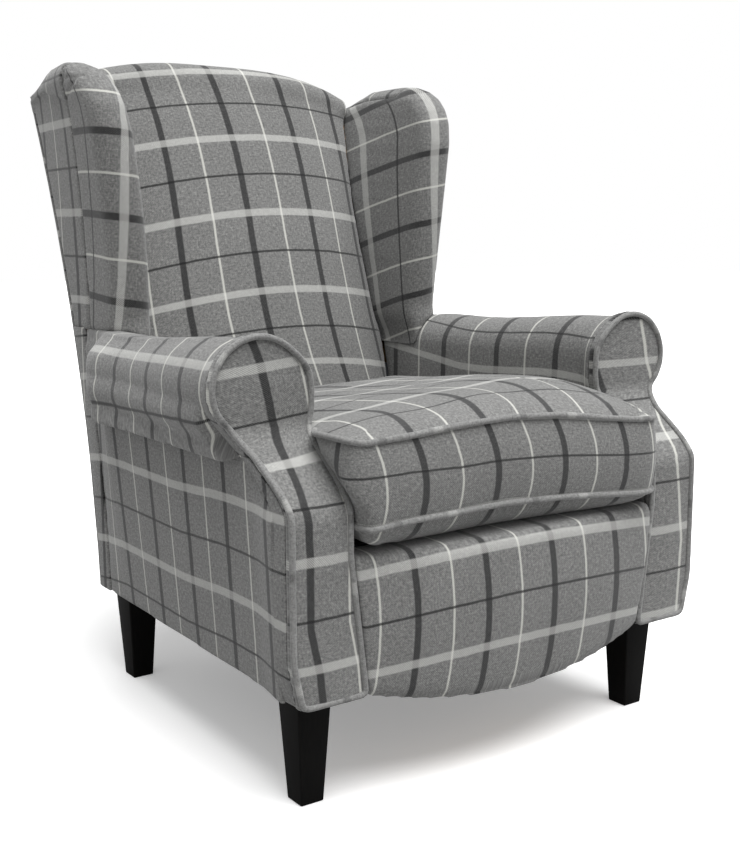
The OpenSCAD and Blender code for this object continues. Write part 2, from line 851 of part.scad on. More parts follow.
panel_drop = 9;
function panel_bulge(x) = back_crown * (1 - pow(x / back_half_w, 2));
module outside_back() {
    post_in = frame_rear_x - post_w;
    xs = concat([-back_half_w, -post_in], camel_xs(post_in - camel_end), [post_in, back_half_w]);
    color(cloth) loft([for (x = xs)
        let (
            top = abs(x) < post_in ? camel(x) - top_edge : post_top_z - panel_drop,
            zs = [for (t = steps(12)) lerp(base_z, top, t)]
        )
        concat(
            [for (z = zs) [x, back_line(z) + panel_bulge(x), z]],
            [for (i = [12 : -1 : 0]) [x, frame_rear(zs[i]) + fit_gap, zs[i]]]
        )]);
}

// Front border
border_splay = 22;
border_half = seat_w / 2 - border_splay;
lip_r = 14;
border_ease = 2;
rail_cover = 8;
function border_front(x) = front_y + border_crown * pow(abs(x) / border_half, 2.2);
function border_low(x) = base_z - border_dip * (1 - pow(x / border_half, 2));
function rail_low(x) = base_z - (border_dip - rail_cover) * (1 - pow(x / border_half, 2));
function splay(p) =
    [p[0] * (1 + border_splay / border_half * (p[2] - base_z) / (deck_z - base_z)), p[1], p[2]];
function border_ring(x) =
    let (f = border_front(x), low = border_low(x), rear = f + border_pad - fit_gap)
    [for (p = concat(
        [[x, rear, low], [x, f + lip_r / 2, low], [x, f + border_ease, low + lip_r / 2]],
        [for (t = steps(6)) [x, f, lerp(low + lip_r, deck_z - lip_r, t)]],
        [for (a = [20 : 20 : 90]) [x, f + lip_r - lip_r * cos(a), deck_z - lip_r + lip_r * sin(a)]],
        [
            [x, rail_front_y + lip_d, deck_z],
            [x, rail_front_y + lip_d, rail_top_z + fit_gap],
            [x, rear, rail_top_z + fit_gap]
        ]
    )) splay(p)];

module front_border() {
    color(cloth) loft([for (x = camel_xs(border_half)) flip(border_ring(x))]);
}

// Cushion
cushion_z = deck_z + fit_gap;
cushion_half = seat_w / 2 - fit_gap;
cushion_y0 = front_y + piping_r;
cushion_y1 = cushion_y0 + cushion_d;
cushion_cy = (cushion_y0 + cushion_y1) / 2;
seam_low_z = cushion_z + cushion_belly;
seam_top_z = seam_low_z + cushion_border;
cushion_side = cushion_half - piping_r;

// Outline of the cushion seen from above, with sides that draw in between round corners
function cushion_plan(inset) =
    let (
        hx = cushion_side - inset,
        hy = cushion_d / 2 - inset,
        r = max(cushion_corner_r - inset * 0.6, cushion_corner_r / 3),
        corner = [for (a = [0 : 18 : 90]) [hx - r + r * cos(a), hy - r + r * sin(a)]],
        side = [for (t = [0.25, 0.5, 0.75]) [lerp(hx - r, r - hx, t), hy - cushion_draw * sin(180 * t)]],
        end = [for (t = [0.2, 0.4, 0.6, 0.8]) [-hx + cushion_draw * sin(180 * t), lerp(hy - r, r - hy, t)]],
        half = concat(corner, side, [for (i = [5 : -1 : 0]) [-corner[i][0], corner[i][1]]], end)
    )
    [for (p = concat(half, -half)) [p[0], p[1] + cushion_cy]];
function cushion_ring(inset, z) = [for (p = cushion_plan(inset)) [p[0], p[1], z]];

// Shares of the corner radius to draw in, and of the height, for each part of the cushion's side
below_shares = [[1.4, 0], [0.65, 0.02], [0.26, 0.22], [0.07, 0.62], [0, 1]];
border_shares = [[0.02, 0.06], [-0.04, 0.3], [-0.06, 0.5], [-0.04, 0.7], [0.02, 0.94]];
above_shares = [
    [0, 0], [0.07, 0.2], [0.3, 0.42], [0.74, 0.62], [1.43, 0.8], [2.4, 0.92], [3.5, 0.98], [4.8, 1]
];

module seat_cushion() {
    rings = concat(
        [for (s = below_shares) cushion_ring(s[0] * cushion_corner_r, cushion_z + s[1] * cushion_belly)],
        [for (s = border_shares) cushion_ring(s[0] * cushion_corner_r, seam_low_z + s[1] * cushion_border)],
        [for (s = above_shares) cushion_ring(s[0] * cushion_corner_r, seam_top_z + s[1] * cushion_crown)]
    );
    color(cloth)
    difference() {
        loft(rings);
        for (z = [seam_low_z, seam_top_z]) cord(cushion_ring(0, z), piping_r + fit_gap, 6, true);
        cushion_core_blank(fit_gap);
        translate([-zip_w / 2 - fit_gap, cushion_cy, zip_z - zip_h / 2 - fit_gap])
            cube([zip_w + 2 * fit_gap, over, zip_h + 2 * fit_gap]);
    }
}

module cushion_piping_top() {
    color(cloth_dark) cord(cushion_ring(0, seam_top_z), piping_r, 6, true);
}

module cushion_piping_bottom() {
    color(cloth_dark) cord(cushion_ring(0, seam_low_z), piping_r, 6, true);
}

core_wall = 18;
module cushion_core_blank(gap) {
    w = cushion_side - core_wall + gap;
    d = cushion_d / 2 - core_wall - zip_inset + gap;
    translate([-w, cushion_cy - d, cushion_z + core_wall - gap])
        cube([2 * w, 2 * d, cushion_belly + cushion_border + cushion_crown / 2 - 2 * core_wall + 2 * gap]);
}
module cushion_core() {
    color("#e8e0c8") cushion_core_blank(0);
}

// Zip in the cushion's rear border
zip_z = seam_low_z + cushion_border / 2;
zip_h = 28;
zip_inset = 4;
zip_y = cushion_y1 - cushion_draw - zip_inset;
tape_t = 1.4;
coil_h = 5;
coil_t = 2.4;
stop_t = 3;
module zip_tape() {
    color(felt)
    translate([-zip_w / 2, zip_y, zip_z]) union() {
        translate([0, 0, -zip_h / 2]) cube([zip_w, tape_t, zip_h]);
        translate([0, 0, -coil_h / 2]) cube([zip_w, tape_t + coil_t, coil_h]);
        for (x = [0, zip_w - coil_h]) translate([x, 0, -1.5 * coil_h])
            cube([coil_h, coil_t + stop_t, 3 * coil_h]);
    }
}

slider_l = 11;
slider_h = 9;
slider_t = 1.4;
tab_w = 5;
tab_l = 14;
tab_t = 1.2;
pivot_r = 2.6;
slider_x = zip_w / 2 - coil_h - slider_l - fit_gap;
module zip_slider() {
    deep = coil_t + slider_t + fit_gap;
    color(steel)
    translate([slider_x, zip_y + tape_t + fit_gap, zip_z]) {
        difference() {
            translate([0, 0, -slider_h / 2]) cube([slider_l, deep, slider_h]);
            translate([-eps, -eps, -coil_h / 2 - fit_gap])
                cube([slider_l + 2 * eps, coil_t + eps + fit_gap, coil_h + 2 * fit_gap]);
        }
        translate([slider_l / 2, deep, 0]) rotate([-90, 0, 0]) cylinder(h = tab_t, r = pivot_r, $fn = 24);
        translate([(slider_l - tab_w) / 2, deep + tab_t, pivot_r - tab_l]) cube([tab_w, tab_t, tab_l]);
    }
}

front_rail();
bow_former();
back_rail();
left_of(true) side_rail();  // side_rail_left
left_of(false) side_rail();  // side_rail_right
left_of(true) back_post();  // back_post_left
left_of(false) back_post();  // back_post_right
crest_rail();
lower_back_rail();
left_of(true) scroll_board();  // scroll_board_left
left_of(false) scroll_board();  // scroll_board_right
left_of(true) arm_board();  // arm_board_left
left_of(false) arm_board();  // arm_board_right
left_of(true) arm_stump();  // arm_stump_left
left_of(false) arm_stump();  // arm_stump_right
left_of(true) wing_board();  // wing_board_left
left_of(false) wing_board();  // wing_board_right
corner_blocks();
seat_springs();
spring_clips();
seat_deck();
back_webbing();
dust_cover();
left_of(true) front_leg();  // front_leg_left
left_of(false) front_leg();  // front_leg_right
left_of(true) rear_leg();  // rear_leg_left
left_of(false) rear_leg();  // rear_leg_right
leg_bolts();
leg_glides();
inside_back();
outside_back();
left_of(true) inside_wing();  // inside_wing_left
left_of(false) inside_wing();  // inside_wing_right
left_of(true) outside_wing();  // outside_wing_left
left_of(false) outside_wing();  // outside_wing_right
left_of(true) inside_arm();  // inside_arm_left
left_of(false) inside_arm();  // inside_arm_right
left_of(true) outside_arm();  // outside_arm_left
left_of(false) outside_arm();  // outside_arm_right
left_of(true) post_cover();  // post_cover_left
left_of(false) post_cover();  // post_cover_right
left_of(true) arm_facing();  // arm_facing_left
left_of(false) arm_facing();  // arm_facing_right
left_of(true) facing_piping();  // facing_piping_left
left_of(false) facing_piping();  // facing_piping_right
front_border();
seat_cushion();
cushion_core();
cushion_piping_top();
cushion_piping_bottom();
zip_tape();
zip_slider();
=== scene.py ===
import math
import bpy
import numpy as np
from mathutils import Matrix, Vector


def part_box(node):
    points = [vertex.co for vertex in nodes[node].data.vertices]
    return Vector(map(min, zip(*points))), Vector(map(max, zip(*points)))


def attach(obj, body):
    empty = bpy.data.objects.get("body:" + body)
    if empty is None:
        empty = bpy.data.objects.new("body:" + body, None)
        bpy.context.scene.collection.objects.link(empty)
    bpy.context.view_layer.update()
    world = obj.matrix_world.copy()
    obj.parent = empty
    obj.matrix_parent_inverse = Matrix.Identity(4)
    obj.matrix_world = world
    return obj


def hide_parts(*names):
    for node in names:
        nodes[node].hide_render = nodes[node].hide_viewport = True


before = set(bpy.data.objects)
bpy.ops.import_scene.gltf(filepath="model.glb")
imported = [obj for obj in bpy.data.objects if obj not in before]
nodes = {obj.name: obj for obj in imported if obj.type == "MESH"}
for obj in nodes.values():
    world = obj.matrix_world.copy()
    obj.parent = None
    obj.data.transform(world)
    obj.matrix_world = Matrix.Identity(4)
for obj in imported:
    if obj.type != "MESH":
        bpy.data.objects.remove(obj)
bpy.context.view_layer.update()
scene = bpy.context.scene
scene.view_settings.view_transform = "Standard"

# Camera
cameraSettings = {"place": (-1.12114, -1.71462, 0.75738), "azimuth": -34.847, "elevation": 9.44, "roll": -0.157,
                  "lens": 51.81, "sensor": 36.0}


def placeCamera(s):
    data = bpy.data.cameras.new("studioCamera")
    data.sensor_fit = "VERTICAL"
    data.sensor_height = s["sensor"]
    data.lens = s["lens"]
    camera = bpy.data.objects.new("studioCamera", data)
    scene.collection.objects.link(camera)
    az, el, roll = (math.radians(s[k]) for k in ("azimuth", "elevation", "roll"))
    back = Vector((math.sin(az) * math.cos(el), -math.cos(az) * math.cos(el), math.sin(el)))
    right = Vector((0, 0, 1)).cross(back).normalized()
    up = back.cross(right)
    turned = right * math.cos(roll) + up * math.sin(roll)
    up = back.cross(turned)
    camera.matrix_world = Matrix((turned, up, back)).transposed().to_4x4()
    camera.location = s["place"]
    scene.camera = camera


placeCamera(cameraSettings)
print("camera placed")


# Small tools
def smooth(t):
    t = np.clip(t, 0, 1)
    return t * t * (3 - 2 * t)


def lerp(a, b, t):
    return a + (b - a) * t


def linearColour(hexValue):
    channels = [int(hexValue[i:i + 2], 16) / 255 for i in (1, 3, 5)]
    return tuple(c / 12.92 if c <= 0.04045 else ((c + 0.055) / 1.055) ** 2.4 for c in channels) + (1.0,)


# Settings are properties or fixed inputs. Links are inputs by name, or by number after an underscore.
def addNode(tree, kind, settings=None, **links):
    node = tree.nodes.new(kind)
    for key, value in (settings or {}).items():
        if isinstance(key, int) or key in node.inputs:
            node.inputs[key].default_value = value
        else:
            setattr(node, key, value)
    for key, source in links.items():
        name = key[1:] if key[0] == "_" else key
        socket = node.inputs[int(name)] if name.isdigit() else node.inputs[name.replace("_", " ")]
        if isinstance(source, (int, float)):
            socket.default_value = source
        else:
            tree.links.new(source, socket)
    return node


def calc(tree, operation, *values):
    node = addNode(tree, "ShaderNodeMath", {"operation": operation}, **{"_" + str(i): v for i, v in enumerate(values)})
    return node.outputs[0]


def mapRange(tree, source, fromMin, fromMax, toMin, toMax):
    ends = {"From Min": fromMin, "From Max": fromMax, "To Min": toMin, "To Max": toMax}
    return addNode(tree, "ShaderNodeMapRange", ends, Value=source).outputs[0]


def emptyMaterial(name):
    material = bpy.data.materials.new(name)
    material.use_nodes = True
    material.node_tree.nodes.clear()
    return material, material.node_tree


def setRamp(ramp, first, last):
    for element, (position, colour) in zip(ramp.color_ramp.elements, (first, last)):
        element.position = position
        element.color = linearColour(colour)


def meshArrays(piece):
    co = np.empty(len(piece.data.vertices) * 3)
    piece.data.vertices.foreach_get("co", co)
    return co.reshape(-1, 3)


def writePoints(piece, co):
    piece.data.vertices.foreach_set("co", co.ravel())
    piece.data.update()


def pickOnly(piece):
    bpy.ops.object.select_all(action="DESELECT")
    piece.select_set(True)
    bpy.context.view_layer.objects.active = piece


def applyModifiers(piece):
    pickOnly(piece)
    for modifier in list(piece.modifiers):
        bpy.ops.object.modifier_apply(modifier=modifier.name)


def editMesh(piece, operation, **settings):
    pickOnly(piece)
    bpy.ops.object.mode_set(mode="EDIT")
    bpy.ops.mesh.select_all(action="SELECT")
    operation(**settings)
    bpy.ops.object.mode_set(mode="OBJECT")


def newPiece(name, verts, faces):
    mesh = bpy.data.meshes.new(name)
    mesh.from_pydata([tuple(v) for v in verts], [], faces)
    mesh.update()
    piece = bpy.data.objects.new(name, mesh)
    scene.collection.objects.link(piece)
    return piece


# Faces between rings of count corners, the last one joined to the first if closed
def ringFaces(rings, count, closed):
    return [(i * count + k, i * count + (k + 1) % count, (i + 1) % rings * count + (k + 1) % count,
             (i + 1) % rings * count + k) for i in range(rings if closed else rings - 1) for k in range(count)]


def copyNode(node, name):
    piece = nodes[node].copy()
    piece.data = nodes[node].data.copy()
    piece.name = name
    piece.parent = None
    for key in list(piece.keys()):
        del piece[key]
    scene.collection.objects.link(piece)
    piece.data.materials.clear()
    editMesh(piece, bpy.ops.mesh.remove_doubles, threshold=0.00002)
    return piece


def smoothFaces(piece, angle=None):
    pickOnly(piece)
    if angle is None:
        bpy.ops.object.shade_smooth()
    else:
        bpy.ops.object.shade_smooth_by_angle(angle=math.radians(angle))


def finish(piece, material, body, *replaced, slot="check_wool"):
    piece.data.materials.clear()
    piece.data.materials.append(material)
    if replaced:
        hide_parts(*replaced)
    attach(piece, body)


# The chair's own lines, as in the part
line = {"frontY": -0.484, "rearY": 0.484, "baseZ": 0.155, "backTopZ": 1.050, "topEdge": 0.032, "backCrown": 0.006,
        "sweep": 0.253, "sweepLinear": 0.2, "panel": 0.006, "frame": 0.040, "padSide": 0.020, "padMiddle": 0.058,
        "padLow": 0.72, "padRun": 0.130, "camelDrop": 0.045, "camelHalf": 0.290, "deckZ": 0.345, "facingY": -0.453,
        "setback": 0.112, "neckZ": 0.398, "neckRun": 0.107, "rollX": 0.336, "rollZ": 0.548, "rollR": 0.065,
        "armFall": 0.020, "armBackY": -0.305, "boardX": 0.352, "frameFrontX": 0.339, "frameRearX": 0.323,
        "frameRun": 0.640, "tailY": 0.100, "tailRun": 0.104, "wingFootY": 0.131, "wingZ": 0.590, "wingRise": 0.426,
        "wingX": 0.290, "wingFlare": 0.044, "wingBow": 0.016, "wingRoundZ": 0.906, "wingRound": 0.110,
        "wingTopIn": 0.020, "noseR": 0.034}
seamLevels = (0.345, 0.540, 0.600, 0.720, 0.800, 0.860, 0.900, 0.950, 1.000, 1.060)
seamHalves = (0.262, 0.262, 0.254, 0.252, 0.256, 0.264, 0.271, 0.282, 0.296, 0.300)
# Half a repeat of the check, across and along the cloth
halfAcross, halfAlong = 0.059, 0.067


def backLine(z):
    u = (z - line["baseZ"]) / (line["backTopZ"] - line["topEdge"] - line["baseZ"])
    rise = line["sweepLinear"] * u + (1 - line["sweepLinear"]) * u * u
    return line["rearY"] - line["backCrown"] - line["sweep"] * (1 - rise)


def frameFront(z):
    return backLine(z) - line["panel"] - line["frame"]


# Half width of the back between its seams, which stand wider apart towards the top
def backSeam(z):
    return np.interp(z, seamLevels, seamHalves)


def padFront(x, z):
    share = np.clip(np.abs(x) / backSeam(z), 0, 1)
    depth = lerp(line["padSide"], line["padMiddle"], (1 - share ** 2.4) ** 0.8)
    return frameFront(z) - depth * lerp(line["padLow"], 1.0, smooth((z - line["deckZ"]) / line["padRun"]))


def camelDrop(x):
    return line["camelDrop"] * np.clip(np.abs(x) / line["camelHalf"], 0, 1) ** 3


def scrollY(z):
    return line["facingY"] + line["setback"] * smooth((z - line["neckZ"]) / line["neckRun"])


def rollCentre(y):
    fall = line["armFall"] * smooth((y - line["armBackY"]) / (line["wingFootY"] - line["armBackY"]) * 1.3)
    return line["rollX"] - fall / 2, line["rollZ"] - fall / 2, line["rollR"] - fall / 2


def wingNose(z):
    rise = np.clip((z - line["wingZ"]) / line["wingRise"], 0, 1)
    top = np.clip((z - line["wingRoundZ"]) / line["wingRound"], 0, 1)
    bow = line["wingBow"] * np.sin(np.pi * np.clip(rise / 1.24, 0, 1))
    y = line["wingFootY"] - bow + (line["wingRound"] + line["wingTopIn"]) * (1 - np.sqrt(1 - top * top))
    return line["wingX"] + line["wingFlare"] * rise ** 1.7, y + line["noseR"]


def powers(a, b, size):
    terms = [1.0 + 0 * a, a, b, a * a, a * b, b * b, a ** 3, a * a * b, a * b * b, b ** 3]
    return terms[:size]


# How many half repeats of the check lie between a place on a piece and its first line.
# Beyond the ranges the count goes on evenly.
def countAt(counts, a, b, aRange, bRange):
    def plain(p, q):
        return sum(k * term for k, term in zip(counts, powers(p, q, len(counts))))
    ca, cb = np.clip(a, *aRange), np.clip(b, *bRange)
    step = 0.002
    slopeA = (plain(ca + step, cb) - plain(ca - step, cb)) / (2 * step)
    slopeB = (plain(ca, cb + step) - plain(ca, cb - step)) / (2 * step)
    return plain(ca, cb) + slopeA * (a - ca) + slopeB * (b - cb)


# Cloth
# Wool-look twill in heathered grey: matt, soft, a slight fuzz at grazing angles, a woven window check.
# Real threads are about 1.2 mm wide: the twill is drawn coarser so that it shows.
# Each stripe has its place in the repeat, its width, its colour and how much of it covers the ground.
clothSettings = {"ground": "#6e6e6d", "shade": "#545453", "light": "#8a8a88", "fleckFrom": 0.36, "fleckTo": 0.64,
                 "fleckMm": 2.6, "fleckLongMm": 6.0, "twillMm": 3.0, "wanderMm": 2.0, "edgeMm": 0.9, "fineEdgeMm": 0.7,
                 "dark": (0.0, 10.5, "#111113", 0.95), "white": (59.0, 3.4, "#cdcdc6", 0.75),
                 "pale": (0.0, 12.0, "#cfcfcb", 0.56), "black": (67.0, 3.6, "#0e0e0f", 1.0),
                 "roughness": 0.92, "sheen": 0.25, "sheenRoughness": 0.5, "specular": 0.2,
                 "bump": 0.35, "ribHeight": 0.35, "bumpDepth": 0.0008}
# Piping is the same cloth cut on the bias, with soft patches where it crosses the stripes; its ground and shade are
# painted lighter than the cloth's, a painted highlight on the round cord
pipingSettings = dict(clothSettings, ground="#7a7a79", shade="#5c5c5b", dark=(30.0, 12.0, "#111113", 0.4),
                      pale=(120.0, 16.0, "#cfcfcb", 0.3), edgeMm=2.0, biasMm=236.0)


def fleckNoise(tree, place, across, along, shift):
    scale = {"Scale": (1000 / across, 1000 / along, 1.0), "Location": shift}
    stretched = addNode(tree, "ShaderNodeMapping", scale, Vector=place).outputs[0]
    noise = {"Scale": 1.0, "Detail": 3.0, "Roughness": 0.7}
    return addNode(tree, "ShaderNodeTexNoise", noise, Vector=stretched).outputs[0]


def clothMaterial(name, s):
    material, tree = emptyMaterial(name)
    place = addNode(tree, "ShaderNodeUVMap", {"uv_map": "cloth"}).outputs["UV"]
    split = addNode(tree, "ShaderNodeSeparateXYZ", _0=place)
    mm = [calc(tree, "MULTIPLY", split.outputs[i], 1000.0) for i in (0, 1)]

    # slight unevenness in the run of the threads
    drift = addNode(tree, "ShaderNodeTexNoise", {"Scale": 28.0, "Detail": 2.0, "Roughness": 0.5}, Vector=place)
    wander = calc(tree, "MULTIPLY_ADD", drift.outputs[0], s["wanderMm"], -s["wanderMm"] / 2)
    across, along = (calc(tree, "ADD", source, wander) for source in mm)

    # twill: a diagonal rib that shows warp on one side and weft on the other
    rib = calc(tree, "MULTIPLY", calc(tree, "ADD", *mm), 2 * math.pi / s["twillMm"])
    wave = calc(tree, "SINE", rib)
    warpShows = mapRange(tree, wave, -0.8, 0.8, 0.76, 1.0)
    weftShows = mapRange(tree, wave, -0.8, 0.8, 1.0, 0.45)
    fineShows = mapRange(tree, wave, -0.8, 0.8, 1.0, 0.7)

    # heather: short flecks of lighter and darker fibre, longer along the thread
    fleck = calc(tree, "ADD", fleckNoise(tree, place, s["fleckMm"], s["fleckLongMm"], (0.0, 0.0, 0.0)),
                 fleckNoise(tree, place, s["fleckLongMm"], s["fleckMm"], (3.1, 7.7, 0.0)))
    ramp = addNode(tree, "ShaderNodeValToRGB", Fac=calc(tree, "MULTIPLY", fleck, 0.5))
    setRamp(ramp, (s["fleckFrom"], s["shade"]), (s["fleckTo"], s["light"]))
    ramp.color_ramp.elements.new(0.5).color = linearColour(s["ground"])

    def weave(colour, source, repeat, stripe, shows, edge):
        centre, width, tint, strength = stripe
        shifted = calc(tree, "ADD", source, repeat / 2 - centre)
        turn = calc(tree, "FLOORED_MODULO", shifted, repeat)
        away = calc(tree, "ABSOLUTE", calc(tree, "SUBTRACT", turn, repeat / 2))
        mask = mapRange(tree, away, width / 2 + edge, width / 2 - edge, 0.0, 1.0)
        mix = addNode(tree, "ShaderNodeMix", {"data_type": "RGBA"})
        tree.links.new(calc(tree, "MULTIPLY", calc(tree, "MULTIPLY", mask, shows), strength), mix.inputs[0])
        tree.links.new(colour, mix.inputs[6])
        mix.inputs[7].default_value = linearColour(tint)
        return mix.outputs[2]

    colour = ramp.outputs[0]
    if "biasMm" in s:
        colour = weave(colour, across, s["biasMm"], s["dark"], warpShows, s["edgeMm"])
        colour = weave(colour, across, s["biasMm"], s["pale"], weftShows, s["edgeMm"])
    else:
        acrossMm, alongMm = 2000 * halfAcross, 2000 * halfAlong
        colour = weave(colour, across, acrossMm, s["dark"], warpShows, s["edgeMm"])
        colour = weave(colour, across, acrossMm, s["white"], warpShows, s["fineEdgeMm"])
        colour = weave(colour, along, alongMm, s["pale"], weftShows, s["edgeMm"])
        colour = weave(colour, along, alongMm, s["black"], fineShows, s["fineEdgeMm"])

    # broad, faint shading where the cloth has been handled
    broad = addNode(tree, "ShaderNodeTexNoise", {"Scale": 9.0, "Detail": 3.0, "Roughness": 0.55}, Vector=place)
    tone = mapRange(tree, broad.outputs[0], 0.3, 0.7, 0.94, 1.05)
    toned = addNode(tree, "ShaderNodeVectorMath", {"operation": "SCALE"}, _0=colour, Scale=tone).outputs[0]

    height = calc(tree, "MULTIPLY_ADD", wave, s["ribHeight"], fleck)
    bump = addNode(tree, "ShaderNodeBump", {"Strength": s["bump"], "Distance": s["bumpDepth"]}, Height=height)
    shader = addNode(tree, "ShaderNodeBsdfPrincipled",
                     {"Roughness": s["roughness"], "Sheen Weight": s["sheen"], "Sheen Roughness": s["sheenRoughness"],
                      "Specular IOR Level": s["specular"]}, Base_Color=toned, Normal=bump.outputs[0])
    addNode(tree, "ShaderNodeOutputMaterial", Surface=shader.outputs[0])
    return material


checkCloth = clothMaterial("heatheredCheckTwill", clothSettings)
# the piping material's lighter ground and shade are a painted highlight
pipingClothPaintedHighlight = clothMaterial("heatheredBiasTwillPaintedHighlight", pipingSettings)


# pattern(points, normals, centres) gives across and along, in metres of cloth, for each face corner
def layCloth(piece, pattern):
    mesh = piece.data
    count = len(mesh.polygons)
    normal, centre = np.empty(count * 3), np.empty(count * 3)
    mesh.polygons.foreach_get("normal", normal)
    mesh.polygons.foreach_get("center", centre)
    total, vertex = np.empty(count, int), np.empty(len(mesh.loops), int)
    mesh.polygons.foreach_get("loop_total", total)
    mesh.loops.foreach_get("vertex_index", vertex)
    face = np.repeat(np.arange(count), total)
    u, v = pattern(meshArrays(piece)[vertex], normal.reshape(-1, 3)[face], centre.reshape(-1, 3)[face])
    layer = mesh.uv_layers.get("cloth") or mesh.uv_layers.new(name="cloth")
    layer.data.foreach_set("uv", np.stack([u, v], 1).ravel())
    mesh.uv_layers.active = layer


# Padding by cloth simulation
def remesh(piece, voxel):
    modifier = piece.modifiers.new("remesh", "REMESH")
    modifier.mode = "VOXEL"
    modifier.voxel_size = voxel
    modifier.adaptivity = 0.0
    applyModifiers(piece)


def relax(piece, rounds):
    modifier = piece.modifiers.new("relax", "SMOOTH")
    modifier.factor = 0.5
    modifier.iterations = rounds
    applyModifiers(piece)


padding = {"quality": 4, "mass": 0.25, "tension_stiffness": 12, "compression_stiffness": 12, "shear_stiffness": 6,
           "bending_stiffness": 0.6, "use_pressure": True, "uniform_pressure_force": 3.0, "pin_stiffness": 1.0}
paddingFrames = 20


# held is 1 where the cover is sewn or tacked down and 0 where it may swell, by cap at most
def puff(piece, held, cap):
    before = meshArrays(piece)
    group = piece.vertex_groups.new(name="sewn")
    group.add([int(i) for i in np.nonzero(held > 0.5)[0]], 1.0, "REPLACE")
    cloth = piece.modifiers.new("cloth", "CLOTH")
    for key, value in padding.items():
        setattr(cloth.settings, key, value)
    cloth.settings.vertex_group_mass = "sewn"
    cloth.settings.effector_weights.gravity = 0.0
    cloth.collision_settings.use_collision = False
    cloth.collision_settings.use_self_collision = False
    cloth.point_cache.frame_start = 1
    cloth.point_cache.frame_end = paddingFrames
    for number in range(1, paddingFrames + 1):
        scene.frame_set(number)
    applyModifiers(piece)
    scene.frame_set(1)
    move = meshArrays(piece) - before
    size = np.linalg.norm(move, axis=1)
    limit = cap * (1 - held)
    scale = np.where(size > 1e-9, np.minimum(size, limit) / np.maximum(size, 1e-9), 0)
    writePoints(piece, before + move * scale[:, None])
    piece.vertex_groups.clear()


# A soft piece starts as a remeshed copy of its solid, its edges rounded off
def softCopy(node, name, voxel, rounds):
    piece = copyNode(node, name)
    remesh(piece, voxel)
    relax(piece, rounds)
    return piece


def cover(piece, pattern, body, *replaced, slot="check_wool", angle=None):
    layCloth(piece, pattern)
    smoothFaces(piece, angle)
    finish(piece, checkCloth, body, *replaced, slot=slot)


# Presses shallow creases into a cover along folds, each a row of places on its surface
def foldCloth(piece, folds, depth=0.003, width=0.004):
    co = meshArrays(piece)
    normal = np.empty(len(co) * 3)
    piece.data.vertices.foreach_get("normal", normal)
    near = np.full(len(co), 1.0)
    for fold in folds:
        for a, b in zip(fold[:-1], fold[1:]):
            for share in np.linspace(0, 1, 6):
                point = np.array(a) * (1 - share) + np.array(b) * share
                near = np.minimum(near, np.linalg.norm(co - point, axis=1))
    co -= normal.reshape(-1, 3) * (depth * np.exp(-(near / width) ** 2))[:, None]
    writePoints(piece, co)


def subdivide(piece):
    modifier = piece.modifiers.new("subdivide", "SUBSURF")
    modifier.levels = modifier.render_levels = 1
    applyModifiers(piece)


# A closed cord, a little uneven in thickness
cordSides, cordWobble, cordWave = 10, 0.03, 1.7


def cordAlong(name, points, radius):
    points = np.array(points)
    count, sides = len(points), cordSides
    ahead = np.roll(points, -1, 0) - np.roll(points, 1, 0)
    ahead /= np.linalg.norm(ahead, axis=1)[:, None]
    normals = np.empty_like(points)
    seed = np.array([0.0, 0.0, 1.0]) if abs(ahead[0][2]) < 0.9 else np.array([0.0, 1.0, 0.0])
    normal = seed - ahead[0] * seed.dot(ahead[0])
    for i in range(count):
        normal = normal - ahead[i] * normal.dot(ahead[i])
        normal /= np.linalg.norm(normal)
        normals[i] = normal
    other = np.cross(ahead, normals)
    angle = np.arange(sides) * 2 * math.pi / sides
    thick = radius * (1 + cordWobble * np.sin(np.arange(count) * cordWave))
    verts = (points[:, None, :] + thick[:, None, None] * (np.cos(angle)[None, :, None] * normals[:, None, :]
             + np.sin(angle)[None, :, None] * other[:, None, :])).reshape(-1, 3)
    piece = newPiece(name, verts, ringFaces(count, sides, True))
    run = np.concatenate([[0], np.cumsum(np.linalg.norm(np.diff(points, axis=0), axis=1))])
    layer = piece.data.uv_layers.new(name="cloth")
    uv = []
    for face in piece.data.polygons:
        for vertex in face.vertices:
            i, k = divmod(vertex, sides)
            uv.append((run[i], k / sides * 2 * math.pi * radius))
    layer.data.foreach_set("uv", np.array(uv).ravel())
    editMesh(piece, bpy.ops.mesh.normals_make_consistent, inside=False)
    smoothFaces(piece)
    return piece


# Seat cushion
cushion = {"half": 0.2657, "cy": -0.163, "depth": 0.317, "bottom": 0.3453, "lowSeam": 0.3853, "topSeam": 0.4983,
           "frontY": -0.480, "draw": 0.005, "corners": (0.044, 0.044, 0.026, 0.036), "pipingR": 0.0042, "cap": 0.004,
           "limit": 0.2698, "crown": 0.031, "crownTilt": 0.065, "crownPower": 4.2, "proud": 0.0008,
           "rearDrop": 0.047, "dropLength": 0.634, "frontLength": 0.16, "lowFrontLength": 0.30,
           "pocket": 0.020, "pocketGap": 0.012, "midZ": 0.44, "rangeX": (-0.27, 0.27), "rangeZ": (-0.06, 0.06),
           "rangeY": (0, 0.15), "pocketRun": 0.03, "pocketX": -0.16, "pocketWidth": 0.1, "topRepeat": 0.142,
           "dents": (0.0022, 17, 1.1, 13, 0.4), "ripples": (0.0012, 41, 23)}
